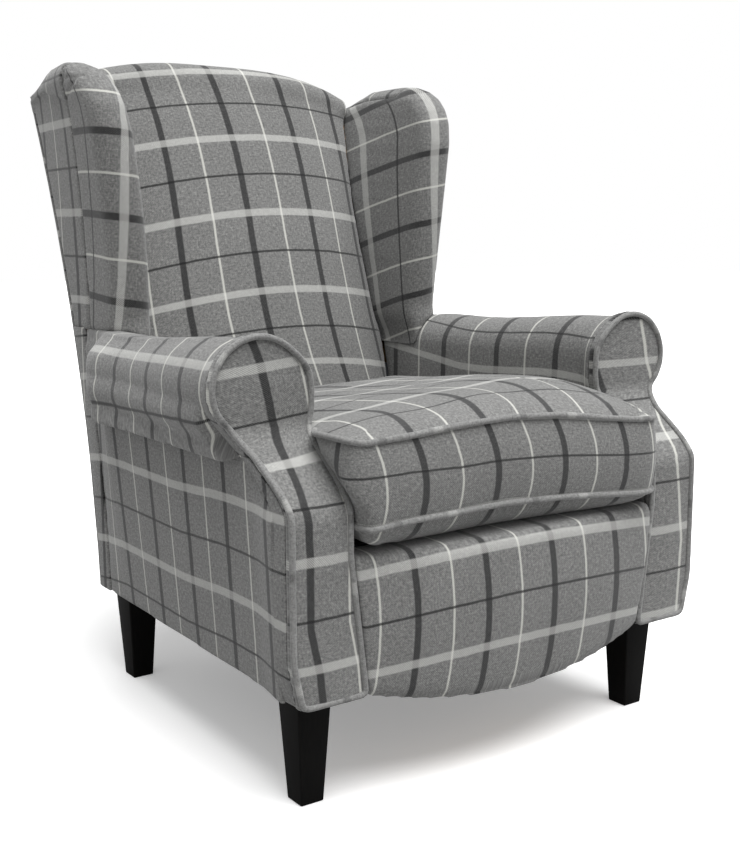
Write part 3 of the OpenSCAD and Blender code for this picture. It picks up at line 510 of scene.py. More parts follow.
# Its section: insets of the underside and their rise to the lower seam, the border's bulge, insets of the crown
bellyProfile = ((0.22, 0.0), (0.16, 0.0), (0.10, 0.02), (0.064, 0.09), (0.042, 0.16), (0.028, 0.23), (0.018, 0.32),
                (0.010, 0.46), (0.005, 0.64), (0.0015, 0.85), (0.0, 0.97))
borderProfile = ((0.03, 0.0), (0.1, 0.0012), (0.2, 0.0028), (0.32, 0.004), (0.44, 0.0045), (0.56, 0.0045),
                 (0.68, 0.004), (0.8, 0.0028), (0.9, 0.0012), (0.97, 0.0))
crownInsets = (0.0, 0.003, 0.008, 0.015, 0.024, 0.036, 0.05, 0.066, 0.084, 0.104, 0.126, 0.15, 0.175, 0.2, 0.23)
seamInset = 0.0025
# How far the pipings stand off their usual level along the front: the right end has settled
frontX = (-0.270, -0.245, -0.190, -0.135, -0.084, -0.030, 0.060, 0.136, 0.217, 0.270)
topFrontRise = (-0.003, -0.005, -0.003, 0.001, 0.004, 0.006, 0.000, -0.010, -0.019, -0.021)
lowFrontRise = (-0.004, -0.003, -0.001, -0.001, 0.001, 0.002, -0.004, -0.009, -0.015, -0.017)
blackRowX = (-0.300, -0.200, -0.120, -0.060, 0.000, 0.060, 0.130, 0.190, 0.240)
blackRowZ = (0.449, 0.450, 0.447, 0.448, 0.446, 0.443, 0.436, 0.430, 0.428)
cushionFrontColumns = (3.889, 16.499, 2.136, 1.691, 0.373, 41.653, 2.274)
cushionTopColumns = (4.227, 16.372, -5.013, -0.976, -0.360, 27.351)


def cushionPlan(inset):
    s = cushion
    hx, hy = s["half"] - inset, s["depth"] - inset
    pieces = []
    for (sx, sy, first), corner in zip(((1, 1, 0), (-1, 1, 90), (-1, -1, 180), (1, -1, 270)), s["corners"]):
        r = max(corner - inset * 0.6, corner / 3)
        angle = np.radians(np.linspace(first, first + 90, 13))
        pieces.append(np.stack([sx * (hx - r) + r * np.cos(angle), sy * (hy - r) + r * np.sin(angle)], 1))
    outline = []
    for i in range(4):
        a, b = pieces[i], pieces[(i + 1) % 4]
        outline.append(a)
        steps = np.linspace(0, 1, 36)[1:-1]
        run = a[-1] + (b[0] - a[-1]) * steps[:, None]
        inward = s["draw"] * np.sin(np.pi * steps)
        run[:, 1 - i % 2] -= inward * np.sign(run[:, 1 - i % 2])
        outline.append(run)
    outline = np.concatenate(outline)
    outline[:, 1] += s["cy"]
    return outline


# The left front corner is filled out as far as the arm leaves room
def fillCorner(co):
    room = scrollY(co[:, 2]) - cushion["pocketGap"] - co[:, 1]
    s = cushion
    co[:, 0] -= s["pocket"] * smooth(room / s["pocketRun"]) * smooth((s["pocketX"] - co[:, 0]) / s["pocketWidth"])
    return co


def topSeamAt(x, y):
    s = cushion
    front = 1 - smooth((y - s["frontY"]) / s["frontLength"])
    rear = smooth((y - s["frontY"]) / s["dropLength"])
    return s["topSeam"] + np.interp(x, frontX, topFrontRise) * front - s["rearDrop"] * rear


def lowSeamAt(x, y):
    front = 1 - smooth((y - cushion["frontY"]) / cushion["lowFrontLength"])
    return cushion["lowSeam"] + np.interp(x, frontX, lowFrontRise) * front


def crownAt(x, y, inset):
    s = cushion
    share = np.clip(inset / s["half"], 0, 1)
    return topSeamAt(x, y) + (s["crown"] + s["crownTilt"] * x) * (1 - (1 - share) ** s["crownPower"])


def cushionRing(kind, inset, share):
    plan = cushionPlan(inset)
    x, y = plan[:, 0], plan[:, 1]
    low, high = lowSeamAt(x, y), topSeamAt(x, y)
    if kind == "belly":
        z = lerp(cushion["bottom"], low, share)
    elif kind == "border":
        z = lerp(low, high, share)
    else:
        z = crownAt(x, y, inset) + cushion["proud"]
    return np.column_stack([plan, z])


def cushionPattern(p, n, c):
    s = cushion
    x, y, z = p[:, 0], p[:, 1], p[:, 2]
    low, high, black = lowSeamAt(x, y), topSeamAt(x, y), np.interp(x, blackRowX, blackRowZ)
    # the pale bands lie on both rows of piping, the black line between them
    v = halfAlong + halfAlong * np.where(z > black, (z - black) / (high - black), (z - black) / (black - low))
    u = (countAt(cushionFrontColumns, x, z - s["midZ"], s["rangeX"], s["rangeZ"]) + 1) * halfAcross
    rise = y - s["frontY"]
    lowFace, topFace = lowSeamAt(c[:, 0], c[:, 1]), topSeamAt(c[:, 0], c[:, 1])
    middle, level = (lowFace + topFace) / 2, np.abs(n[:, 2]) > 0.6
    onTop = (c[:, 2] > middle) & ((c[:, 2] > topFace + 0.0004) | level)
    v = np.where(onTop, 2 * halfAlong * (1 + rise / s["topRepeat"]), v)
    u = np.where(onTop, (countAt(cushionTopColumns, x, rise, s["rangeX"], s["rangeY"]) + 1) * halfAcross, u)
    under = (c[:, 2] < middle) & ((c[:, 2] < lowFace - 0.0004) | level)
    v = np.where(under, -rise - (low - z) * 0.6, v)
    side = (np.abs(n[:, 0]) > 0.75) & ~onTop & ~under
    u = np.where(side, rise + s["rangeX"][1] * np.sign(x), u)
    return u, v


def buildCushion():
    s = cushion
    profile = [("belly", inset, share) for inset, share in bellyProfile]
    lowRow = len(profile)
    profile.append(("border", seamInset, 0.0))
    profile += [("border", -out, share) for share, out in borderProfile]
    topRow = len(profile)
    profile.append(("border", seamInset, 1.0))
    profile += [("crown", inset, 0.0) for inset in crownInsets]
    rings = [cushionRing(*step) for step in profile]
    count = len(rings[0])
    faces = ringFaces(len(rings), count, False)
    verts = np.concatenate(rings)
    low, high = len(verts), len(verts) + 1
    peak = crownAt(0.0, s["cy"], s["half"]) + s["proud"]
    verts = np.vstack([verts, [0, s["cy"], s["bottom"]], [0, s["cy"], peak]])
    last = (len(rings) - 1) * count
    faces += [(low, (k + 1) % count, k) for k in range(count)]
    faces += [(high, last + k, last + (k + 1) % count) for k in range(count)]
    piece = newPiece("boxCushion", verts, faces)
    co = meshArrays(piece)
    held = np.zeros(len(co))
    held[lowRow * count:(lowRow + 1) * count] = 1
    held[topRow * count:(topRow + 1) * count] = 1
    held[co[:, 2] < s["bottom"] + 0.0005] = 1
    puff(piece, held, s["cap"])
    co = meshArrays(piece)
    # slow dents and swells of a cushion that has been sat on
    x, y = co[:, 0], co[:, 1]
    top = smooth((co[:, 2] - topSeamAt(x, y)) / 0.01)
    deep, acrossX, shiftX, acrossY, shiftY = s["dents"]
    fine, fineX, fineY = s["ripples"]
    dents = deep * np.sin(x * acrossX + shiftX) * np.sin(y * acrossY + shiftY)
    co[:, 2] += top * (dents + fine * np.sin(x * fineX + y * fineY))
    co[:, 2] = np.maximum(co[:, 2], s["bottom"])
    co[:, 0] = np.clip(co[:, 0], -s["limit"], s["limit"])
    writePoints(piece, fillCorner(co))
    subdivide(piece)
    cover(piece, cushionPattern, "cushion", "seat_cushion", slot="cushion_wool")
    plan = cushionPlan(0.0)
    for name, node, level in (("cushionPipingTop", "cushion_piping_top", topSeamAt),
                              ("cushionPipingBottom", "cushion_piping_bottom", lowSeamAt)):
        path = np.column_stack([plan, level(plan[:, 0], plan[:, 1])])
        path[:, 2] += s["proud"] * np.sin(np.arange(len(path)) * 0.35)
        cord = cordAlong(name, fillCorner(path), s["pipingR"])
        finish(cord, pipingClothPaintedHighlight, "cushion", node, slot="piping_wool")
    print("cushion built")


buildCushion()


# Inside back
insideBack = {"voxel": 0.006, "cap": 0.006, "edgeDrop": 0.014, "turnRadius": 0.049, "midZ": 0.75, "topZ": 1.03,
              "rangeX": (-0.28, 0.29), "rowsZ": (-0.36, 0.27), "columnsZ": (-0.30, 0.27),
              "sideRound": 0.034, "sideBack": 0.011, "swellX": -0.09, "swell": 0.001, "swellWidth": 0.06,
              "tackedBehind": 0.012, "tackedZ": 0.95, "rearBehind": 0.03, "footZ": 0.36, "tackedEdge": 0.010,
              "clear": 0.004, "clearRun": 0.012, "topFade": 0.05, "swellDepth": 0.035}
backRows = (4.4334, 0.8585, -14.4466, -6.1586, 0.8696, 0.1274, -1.6686, 2.9401, -2.692, -13.1651)
backColumns = (2.1439, 14.0039, -0.5773, 2.6626, 0.8223, -1.0043, 36.6496, -11.02, -6.4808, 18.5123)


# Angle round the pad's rolled top, from 0 on its front
def backTurn(x, y, z):
    rise = line["topEdge"] + insideBack["edgeDrop"]
    turn = line["backTopZ"] - camelDrop(x) - rise
    front = padFront(x, turn)
    half = (backLine(turn) - front) / 2
    return turn, rise, np.arctan2(np.maximum(z - turn, 0) / rise, (front + half - y) / half)


def backPattern(p, n, c):
    s = insideBack
    x, y, z = p[:, 0], p[:, 1], p[:, 2]
    turn, rise, angle = backTurn(x, y, z)
    angle = np.where(z > turn, angle, 0)
    over = np.maximum(angle - math.pi / 4, 0)
    level = np.where(over > 0, turn + rise * math.sin(math.pi / 4) + over * s["turnRadius"], z)
    rows = countAt(backRows, x, level - s["midZ"], s["rangeX"], s["rowsZ"])
    columns = countAt(backColumns, x, np.minimum(z, s["topZ"]) - s["midZ"], s["rangeX"], s["columnsZ"])
    return columns * halfAcross, -rows * halfAlong


def buildInsideBack(s):
    piece = softCopy("inside_back", "insideBackPad", s["voxel"], 3)
    co = meshArrays(piece)
    x, y, z = co[:, 0], co[:, 1], co[:, 2]
    behind = y - padFront(x, z)
    held = np.where((behind > s["tackedBehind"]) & (z < s["tackedZ"]), 1.0, 0.0)
    held = np.where(behind > s["rearBehind"], 1.0, held)
    held = np.where((z < s["footZ"]) | (np.abs(x) > backSeam(z) - s["tackedEdge"]), 1.0, held)
    puff(piece, held, s["cap"])
    relax(piece, 2)
    co = meshArrays(piece)
    # the sides round back into the crevice beside each wing
    near = np.clip((np.abs(co[:, 0]) - backSeam(co[:, 2]) + s["sideRound"]) / s["sideRound"], 0, 1)
    ahead = smooth((frameFront(co[:, 2]) - s["clear"] - co[:, 1]) / s["clearRun"])
    co[:, 1] += s["sideBack"] * near ** 2 * ahead * smooth((z.max() - s["topFade"] - co[:, 2]) / s["topFade"])
    top = line["backTopZ"] - camelDrop(co[:, 0])
    co[:, 2] += smooth((co[:, 2] - top + s["swellDepth"]) / s["swellDepth"]) * (
        s["swell"] * np.exp(-((co[:, 0] - s["swellX"]) / s["swellWidth"]) ** 2))
    writePoints(piece, co)
    subdivide(piece)
    cover(piece, backPattern, "chair", "inside_back")
    print("inside back built")


buildInsideBack(insideBack)


# Arms
armSettings = {"voxel": 0.004, "hemZ": 0.466, "bellyTop": 0.530, "belly": 0.021, "hemDrop": 0.012, "hemX": 0.3515,
               "hemRun": 0.006, "tailY": 0.150, "tailRun": 0.05, "frontGap": 0.030, "frontRun": 0.03}
# Where the dark and the pale bands lie on each arm, how long the repeats are, and how the pale band slopes
armCheck = {-1: {"darkY": -0.109, "across": 0.126, "paleWrap": 0.034, "along": 0.146, "slope": 0.0},
            1: {"darkY": -0.095, "across": 0.146, "paleWrap": 0.1885, "along": 0.132, "slope": 0.112}}
thicken = {"low": 0.45, "high": 0.57, "skin": 0.0013, "from": 0.03, "run": 0.08, "tail": 0.005,
           "neckSkin": 0.0050, "neckTop": 0.50, "neck": 0.004}


def armWrap(p, side):
    x, y, z = p[:, 0] * side, p[:, 1], p[:, 2]
    cx, cz, r = rollCentre(y)
    angle = np.arctan2(z - cz, x - cx)
    inner = (z < cz) & (x < cx)
    return np.where(inner, r * math.pi + (cz - z), r * np.where(angle < -math.pi / 2, angle + 2 * math.pi, angle))


def armPattern(side):
    s = armCheck[side]

    def pattern(p, n, c):
        pale = s["paleWrap"] + s["slope"] * (0.12 - p[:, 1])
        return ((p[:, 1] - s["darkY"]) / s["across"] * 2 * halfAcross,
                (armWrap(p, side) - pale) / s["along"] * 2 * halfAlong)
    return pattern


# The thin cover beside the arm board is thickened outwards, so that it stays whole
def thickenTail(piece, side):
    s = thicken
    co = meshArrays(piece)
    x, y, z = co[:, 0] * side, co[:, 1], co[:, 2]
    frameX = lerp(line["frameFrontX"], line["frameRearX"], (y - line["facingY"]) / line["frameRun"])
    board = lerp(line["boardX"], frameX, smooth((y - line["tailY"]) / line["tailRun"]))
    skin = (x > board + s["skin"]) & (z > s["low"]) & (z < s["high"])
    neck = skin & (x < board + s["neckSkin"]) & (z < s["neckTop"])
    co[:, 0] += side * (s["tail"] * skin * smooth((y - s["from"]) / s["run"]) + s["neck"] * neck)
    writePoints(piece, co)


def buildArm(side, name, node):
    s = armSettings
    piece = copyNode(node, name)
    thickenTail(piece, side)
    remesh(piece, s["voxel"])
    relax(piece, 2)
    co = meshArrays(piece)
    x, y, z = co[:, 0] * side, co[:, 1], co[:, 2]
    # the underside of the roll bellies out over its hem
    share = np.clip((s["bellyTop"] - z) / (s["bellyTop"] - s["hemZ"]), 0, 1)
    outer = smooth((x - s["hemX"]) / s["hemRun"])
    fade = smooth((s["tailY"] - y) / s["tailRun"]) * smooth((y - scrollY(z) - s["frontGap"]) / s["frontRun"])
    co[:, 0] += side * outer * fade * s["belly"] * np.sin(0.62 * np.pi * share)
    co[:, 2] -= outer * fade * s["hemDrop"] * share
    writePoints(piece, co)
    relax(piece, 2)
    subdivide(piece)
    cover(piece, armPattern(side), "chair", node)


buildArm(-1, "insideArmLeft", "inside_arm_left")
buildArm(1, "insideArmRight", "inside_arm_right")
print("arms built")


# Outline of the arm's front, as in the part
scroll = {"footIn": 0.248, "footOut": 0.350, "footZ": 0.155, "sideX": 0.363, "sideZ": 0.220, "neckZ": 0.46675,
          "seatX": 0.271, "seatZ": 0.345, "arc": (-50, 181, 6)}
# The stuffed front of the scroll stands a little larger than the roll behind it, and its seat side bulges
scrollSwell = {"from": 0.41, "run": 0.06, "centreX": 0.317, "larger": 0.10, "lift": 0.0025, "bulge": 0.009,
               "bulgeLow": 0.475, "bulgeHigh": 0.61, "bulgeRun": 0.05, "bulgeX": 0.31, "bulgeWidth": 0.04}


def facingOutline(inset):
    s, r = scroll, line["rollR"] - inset
    roll = [(line["rollX"] + r * math.cos(a), line["rollZ"] + r * math.sin(a))
            for a in np.radians(np.arange(*s["arc"]))]
    return [(s["footIn"] + inset, s["footZ"] + inset), (s["footOut"] - inset, s["footZ"] + inset),
            (s["sideX"] - inset, s["sideZ"]), (s["sideX"] - inset, s["neckZ"])] + roll \
        + [(s["seatX"] + inset, s["seatZ"])]


def swellScroll(x, z, share=1.0):
    s = scrollSwell
    bulge = smooth((z - s["bulgeLow"]) / s["bulgeRun"]) * smooth((s["bulgeHigh"] - z) / s["bulgeRun"])
    x = x - s["bulge"] * share * bulge * smooth((s["bulgeX"] - x) / s["bulgeWidth"])
    amount = share * smooth((z - s["from"]) / s["run"])
    rise = np.maximum(z - line["rollZ"], 0) * s["larger"] + s["lift"]
    return x + (x - s["centreX"]) * s["larger"] * amount, z + rise * amount


# The outline with a corner every few millimetres, its bends eased
def denseOutline(inset):
    flat = np.array(facingOutline(inset))
    dense = []
    for a, b in zip(flat, np.roll(flat, -1, 0)):
        steps = max(1, int(np.linalg.norm(b - a) / 0.006))
        dense += [a + (b - a) * k / steps for k in range(steps)]
    dense = np.array(dense)
    for _ in range(2):
        dense = (np.roll(dense, 1, 0) + 2 * dense + np.roll(dense, -1, 0)) / 4
    return dense


# Cloth carried from the facing back over the edge of the scroll board
band = {"from": 0.0124, "to": 0.0356, "lowLap": 0.0035, "lap": 0.010, "lapFrom": 0.505, "lapRun": 0.02,
        "deep": 0.0042, "turnZ": 0.47}


def buildBand(side, name):
    s = band
    base = denseOutline(0.0)
    centre = base.mean(0)
    ahead = np.roll(base, -1, 0) - np.roll(base, 1, 0)
    inward = np.column_stack([-ahead[:, 1], ahead[:, 0]]) / np.linalg.norm(ahead, axis=1)[:, None]
    inward *= np.sign(((centre - base) * inward).sum(1).mean())
    z = base[:, 1]
    lap = s["lowLap"] + s["lap"] * smooth((z - s["lapFrom"]) / s["lapRun"])
    stations = ((s["from"], 0.0014), (s["from"] + 0.002, 0.0002), (s["to"], -0.0004), (s["to"] + lap, -0.0006),
                (s["to"] + lap, -0.0002), (s["to"] + 0.0003, -0.0001), (s["to"], s["deep"]), (s["from"], s["deep"]))
    rings = []
    for reach, inset in stations:
        flat = base + inward * inset
        share = np.clip(1 - (reach - s["from"]) / (s["to"] - s["from"]), 0, 1)
        wide, tall = swellScroll(flat[:, 0], flat[:, 1], share)
        rings.append(np.column_stack([wide * side, scrollY(z) + reach, tall]))
    piece = newPiece(name, np.concatenate(rings), ringFaces(len(stations), len(base), True))
    editMesh(piece, bpy.ops.mesh.normals_make_consistent, inside=False)
    onRoll = armPattern(side)

    def pattern(p, n, c):
        rollPlace, sidePlace = onRoll(p, n, c), sidePattern(p, n, c)
        upper = c[:, 2] > s["turnZ"]
        return np.where(upper, rollPlace[0], sidePlace[0]), np.where(upper, rollPlace[1], sidePlace[1])

    cover(piece, pattern, "chair", angle=45)


# The cloth of the outer side, which was pulled down at both ends
sideCheck = {"darkY": -0.039, "across": 0.119, "paleZ": 0.2545, "along": 0.1365, "rearFrom": 0.10, "rearSlope": 0.12,
             "frontFrom": -0.10, "frontRun": 0.2, "frontDrop": 0.010}


def sidePattern(p, n, c):
    s, y = sideCheck, p[:, 1]
    dropped = s["frontDrop"] * smooth((s["frontFrom"] - y) / s["frontRun"])
    pulled = s["rearSlope"] * np.maximum(y - s["rearFrom"], 0) - dropped
    return ((y - s["darkY"]) / s["across"] * 2 * halfAcross,
            (p[:, 2] + pulled - s["paleZ"]) / s["along"] * 2 * halfAlong)


buildBand(-1, "scrollBandLeft")
buildBand(1, "scrollBandRight")


# Wings
wing = {"voxel": 0.0045, "skirt": 0.035, "gap": 0.0012, "sink": 0.003, "lapZ": 0.600, "lapLength": 0.055,
        "armFaceX": 0.2685, "flare": 0.006, "flareZ": 0.612, "flareRun": 0.03, "noseAhead": 0.010, "midZ": 0.8,
        "lap": 0.003, "lapRun": 0.004, "lapX": 0.315, "lapXRun": 0.010, "lapY": 0.225, "lapYRun": 0.02,
        "fallY": 0.345, "fall": 0.28, "fallZ": 0.970, "fallRun": 0.046, "outerDrop": 0.005, "outerRun": 0.02}
wingRows = {1: (2.5678, 2.6475, 15.7111, 3.5178, -4.6818, 2.6865, -1.2175, -0.0036, 2.7204, 11.1166),
            -1: (-0.5362, 1.5961, 14.8017, 5.0009, -3.078, 5.1935)}
wingColumns = {1: (-0.0446, 12.0786, -1.6275, -5.0821, -8.8893, 4.6992, -1.3568, 0.096, -6.223, 8.1513),
               -1: (-0.0869, -12.3345, 1.6663, -6.5694, 5.9239, 5.0521, -2.1231, -4.4787, 0.2901, 1.5225)}
wingRange = {1: ((-0.03, 0.24), (-0.20, 0.207)), -1: ((-0.18, 0.03), (0.0, 0.177))}


# Distance round the wing from its foremost line: plus on the inner side, minus on the outer side
def wingWrap(p, side):
    x, y, z = p[:, 0] * side, p[:, 1], p[:, 2]
    cx, cy = wingNose(z)
    past = np.where(x < cx, 1, -1) * (line["noseR"] * math.pi / 2 + (y - cy))
    return np.where(y < cy, line["noseR"] * np.arctan2(cx - x, cy - y), past)


def wingPattern(side):
    def pattern(p, n, c):
        around, level = wingWrap(p, side), p[:, 2] - wing["midZ"]
        rows = countAt(wingRows[side], around, level, *wingRange[side])
        columns = countAt(wingColumns[side], around, level, *wingRange[side])
        return (rows + (side < 0)) * halfAcross, columns * halfAlong
    return pattern


# The wing's lower end follows the arm's roll and runs out on it
def settleWing(co, side):
    s = wing
    x, y, z = co[:, 0] * side, co[:, 1], co[:, 2]
    cx, cz, r = rollCentre(y)
    armTop = cz + r * np.sqrt(1 - np.clip((x - cx) / r, -1, 1) ** 2) + s["gap"]
    lower = 1 - smooth((z - line["wingZ"]) / s["skirt"])
    co[:, 2] = z - (np.maximum(line["wingZ"] - armTop, 0) + s["sink"]) * lower
    near = smooth((s["lapZ"] - co[:, 2]) / s["lapLength"])
    co[:, 0] = np.where(x < s["armFaceX"], x + (s["armFaceX"] - x) * near, x) * side
    ahead = y < wingNose(z)[1] - s["noseAhead"]
    co[:, 1] -= ahead * s["flare"] * smooth((s["flareZ"] - z) / s["flareRun"])
    return co


# Creases where the cover is gathered at the top of the left wing
wingFolds = (
    ((-0.348, 0.230, 1.012), (-0.357, 0.226, 1.003), (-0.358, 0.228, 0.991), (-0.356, 0.241, 0.979)),
    ((-0.347, 0.171, 0.989), (-0.357, 0.177, 0.986), (-0.361, 0.182, 0.978), (-0.356, 0.211, 0.968),
     (-0.352, 0.236, 0.958)),
    ((-0.359, 0.221, 0.989), (-0.360, 0.182, 0.985)))


def buildInsideWing(side, name, node):
    piece = softCopy(node, name, wing["voxel"], 3)
    writePoints(piece, settleWing(meshArrays(piece), side))
    subdivide(piece)
    if side < 0:
        foldCloth(piece, wingFolds)
    writePoints(piece, dressWingTop(meshArrays(piece), side))
    cover(piece, wingPattern(side), "chair", node)


# The top falls away towards the post, and its cloth laps over the outer panel as a cap
capEdgeY = (0.238, 0.290, 0.322, 0.344, 0.373, 0.417, 0.455)
capEdgeZ = (0.955, 0.962, 0.968, 0.975, 0.974, 0.967, 0.961)


def dressWingTop(co, side):
    s = wing
    x, y, z = co[:, 0] * side, co[:, 1], co[:, 2]
    edge = np.interp(y, capEdgeY, capEdgeZ)
    lap = smooth((z - edge) / s["lapRun"]) * smooth((x - s["lapX"]) / s["lapXRun"])
    lap *= smooth((y - s["lapY"]) / s["lapYRun"])
    co[:, 0] += side * s["lap"] * lap
    co[:, 2] -= s["fall"] * np.maximum(y - s["fallY"], 0) * smooth((z - s["fallZ"]) / s["fallRun"])
    return co


def buildOutsideWing(side, name, node):
    piece = softCopy(node, name, wing["voxel"], 2)
    subdivide(piece)
    co = dressWingTop(meshArrays(piece), side)
    co[:, 2] -= wing["outerDrop"] * (1 - smooth((co[:, 2] - line["wingZ"]) / wing["outerRun"]))
    writePoints(piece, co)
    cover(piece, outsideWingPattern, "chair", node)


def outsideWingPattern(p, n, c):
    darkY, paleZ, along = 0.272, 0.922, 0.143
    return p[:, 1] - darkY, (p[:, 2] - paleZ) / along * 2 * halfAlong


buildInsideWing(-1, "insideWingLeft", "inside_wing_left")
buildInsideWing(1, "insideWingRight", "inside_wing_right")
buildOutsideWing(-1, "outsideWingLeft", "outside_wing_left")
buildOutsideWing(1, "outsideWingRight", "outside_wing_right")


# Thin covers keep their panel, with eased edges; lift raises the top edge behind the pad
panel = {"ease": 0.003, "bevelAngle": 50, "smoothAngle": 40, "column": 0.004, "liftFrom": 0.007, "liftRun": 0.004}


def panelFrom(node, name, pattern, lift=0.0):
    s, piece = panel, copyNode(node, name)
    modifier = piece.modifiers.new("edge", "BEVEL")
    modifier.width = s["ease"]
    modifier.segments = 3
    modifier.limit_method = "ANGLE"
    modifier.angle_limit = math.radians(s["bevelAngle"])
    modifier.use_clamp_overlap = True
    applyModifiers(piece)
    if lift:
        co = meshArrays(piece)
        columns = np.abs(co[:, None, 0] - co[None, :, 0]) < s["column"]
        topZ = np.where(columns, co[None, :, 2], 0).max(1)
        share = smooth((co[:, 2] - topZ + s["liftFrom"]) / s["liftRun"])
        co[:, 2] += lift * share * (np.abs(co[:, 0]) < line["camelHalf"])
        writePoints(piece, co)
    cover(piece, pattern, "chair", node, angle=s["smoothAngle"])


# The outer cover swells out to the edge of the scroll at its front
outsideArm = {"voxel": 0.004, "swell": 0.010, "swellY": -0.34, "swellLength": 0.08, "swellZ": 0.440,
              "swellRun": 0.05, "topZ": 0.450, "topRun": 0.016, "rise": 0.006, "tuck": 0.0018}


def buildOutsideArm(side, name, node):
    s = outsideArm
    piece = softCopy(node, name, s["voxel"], 2)
    co = meshArrays(piece)
    # the top edge is tucked up behind the roll's cover
    top = smooth((co[:, 2] - s["topZ"]) / s["topRun"])
    co[:, 2] += s["rise"] * top
    co[:, 0] -= side * s["tuck"] * top
    low = smooth((s["swellZ"] - co[:, 2]) / s["swellRun"])
    co[:, 0] += side * s["swell"] * low * smooth((s["swellY"] - co[:, 1]) / s["swellLength"])
    writePoints(piece, co)
    cover(piece, sidePattern, "chair", node)


# The cover is folded over the top of each back post
postCap = {"voxel": 0.003, "x": (0.286, 0.332), "z": (0.949, 0.9745), "behind": (-0.047, 0.0022)}


def buildPostCap(side, name):
    bpy.ops.mesh.primitive_cube_add(size=1)
    piece = bpy.context.object
    piece.name = name
    co = meshArrays(piece) + 0.5
    x, z = lerp(*postCap["x"], co[:, 0]), lerp(*postCap["z"], co[:, 2])
    y = backLine(z) + lerp(*postCap["behind"], co[:, 1])
    writePoints(piece, np.stack([x * side, y, z], 1))
    if side < 0:
        piece.data.flip_normals()
    remesh(piece, postCap["voxel"])
    relax(piece, 3)
    cover(piece, backClothPattern, "chair")


def backClothPattern(p, n, c):
    return p[:, 0], p[:, 2] * 1.08  # the cloth is stretched over the outside back


for sideName, side in (("left", -1), ("right", 1)):
    cap = sideName.capitalize()
    buildPostCap(side, "postCap" + cap)
    buildOutsideArm(side, "outsideArm" + cap, "outside_arm_" + sideName)
    panelFrom("post_cover_" + sideName, "postCover" + cap, sidePattern)
panelFrom("outside_back", "outsideBackPanel", backClothPattern, lift=0.003)
print("wings and outside panels built")


# Arm facings
facing = {"voxel": 0.0035, "crown": 0.004, "face": 0.006, "rollRound": 0.060, "shaftRound": 0.045, "shaftTop": 0.56,
          "innerZ": (0.155, 0.345, 0.5), "innerX": (0.250, 0.270, 0.271), "outerZ": (0.155, 0.22, 0.46, 0.52),
          "outerX": (0.350, 0.363, 0.362, 0.385), "tiltX": 0.340, "pipingR": 0.0042, "pipingInset": 0.0030,
          "pipingAhead": 0.0020, "stretchZ": 0.44, "tiltZ": 0.43, "turnRun": 0.05}
facingLines = {
    -1: {"alongZ": (0.140, 0.208, 0.271, 0.347, 0.414, 0.459, 0.507, 0.578, 0.640),
         "along": (0.469, 0.402, 0.335, 0.268, 0.201, 0.134, 0.067, 0.0, -0.060),
         "acrossZ": (0.155, 0.199, 0.260, 0.350, 0.417, 0.463, 0.500, 0.536, 0.582, 0.620),
         "dark": (-0.318, -0.322, -0.335, -0.335, -0.337, -0.325, -0.318, -0.325, -0.335, -0.349),
         "tilt": 0.10, "past": 0.0, "stretch": (1.0, 0.72)},
    1: {"alongZ": (0.120, 0.166, 0.232, 0.297, 0.372, 0.436, 0.484, 0.542, 0.610),
        "along": (0.449, 0.402, 0.335, 0.268, 0.201, 0.134, 0.067, 0.0, -0.067),
        "acrossZ": (0.155, 0.194, 0.274, 0.338, 0.402, 0.436, 0.503, 0.544, 0.605),
        "dark": (0.278, 0.279, 0.283, 0.275, 0.266, 0.277, 0.308, 0.290, 0.276),
        "tilt": 0.0, "past": 0.035, "stretch": (0.63, 0.50)},
}


def buildFacing(side, name, node):
    lines = facingLines[side]
    piece = softCopy(node, name, facing["voxel"], 1)
    s, co = facing, meshArrays(piece)
    front = np.clip((scrollY(co[:, 2]) + s["face"] - co[:, 1]) / s["face"], 0, 1)
    x, z = co[:, 0] * side, co[:, 2]
    # the padding stands proudest along the middle of the facing
    roll = np.clip(1 - np.hypot(x - line["rollX"], z - line["rollZ"]) / s["rollRound"], 0, 1)
    inner, outer = np.interp(z, s["innerZ"], s["innerX"]), np.interp(z, s["outerZ"], s["outerX"])
    shaft = np.clip(np.minimum(x - inner, outer - x) / s["shaftRound"], 0, 1)
    crown = np.sqrt(np.maximum(roll, np.where(z < s["shaftTop"], shaft, 0)))
    co[:, 1] -= front * crown * s["crown"]
    wide, tall = swellScroll(x, z)
    co[:, 0], co[:, 2] = wide * side, tall
    writePoints(piece, co)
    relax(piece, 1)

    def pattern(p, n, c):
        u = p[:, 0] - np.interp(p[:, 2], lines["acrossZ"], lines["dark"]) + lines["past"]
        stretch = lerp(*lines["stretch"], smooth((p[:, 2] - s["stretchZ"]) / s["turnRun"]))
        u = np.where(u * side > 0, u * stretch, u)
        tilt = lines["tilt"] * (p[:, 0] - side * s["tiltX"])
        level = p[:, 2] - tilt * smooth((p[:, 2] - s["tiltZ"]) / s["turnRun"])
        return u, -np.interp(level, lines["alongZ"], lines["along"])

    cover(piece, pattern, "chair", node)


def buildFacingPiping(side, name, node):
    dense, step = denseOutline(facing["pipingInset"]), 0.001
    slope = (scrollY(dense[:, 1] + step) - scrollY(dense[:, 1] - step)) / (2 * step)
    y = scrollY(dense[:, 1]) - facing["pipingAhead"] * np.sqrt(1 + slope ** 2)
    wide, tall = swellScroll(dense[:, 0], dense[:, 1])
    cord = cordAlong(name, np.column_stack([wide * side, y, tall]), facing["pipingR"])
    finish(cord, pipingClothPaintedHighlight, "chair", node, slot="piping_wool")


for sideName, side in (("left", -1), ("right", 1)):
    cap = sideName.capitalize()
    buildFacing(side, "armFacing" + cap, "arm_facing_" + sideName)
    buildFacingPiping(side, "facingPiping" + cap, "facing_piping_" + sideName)
print("facings built")


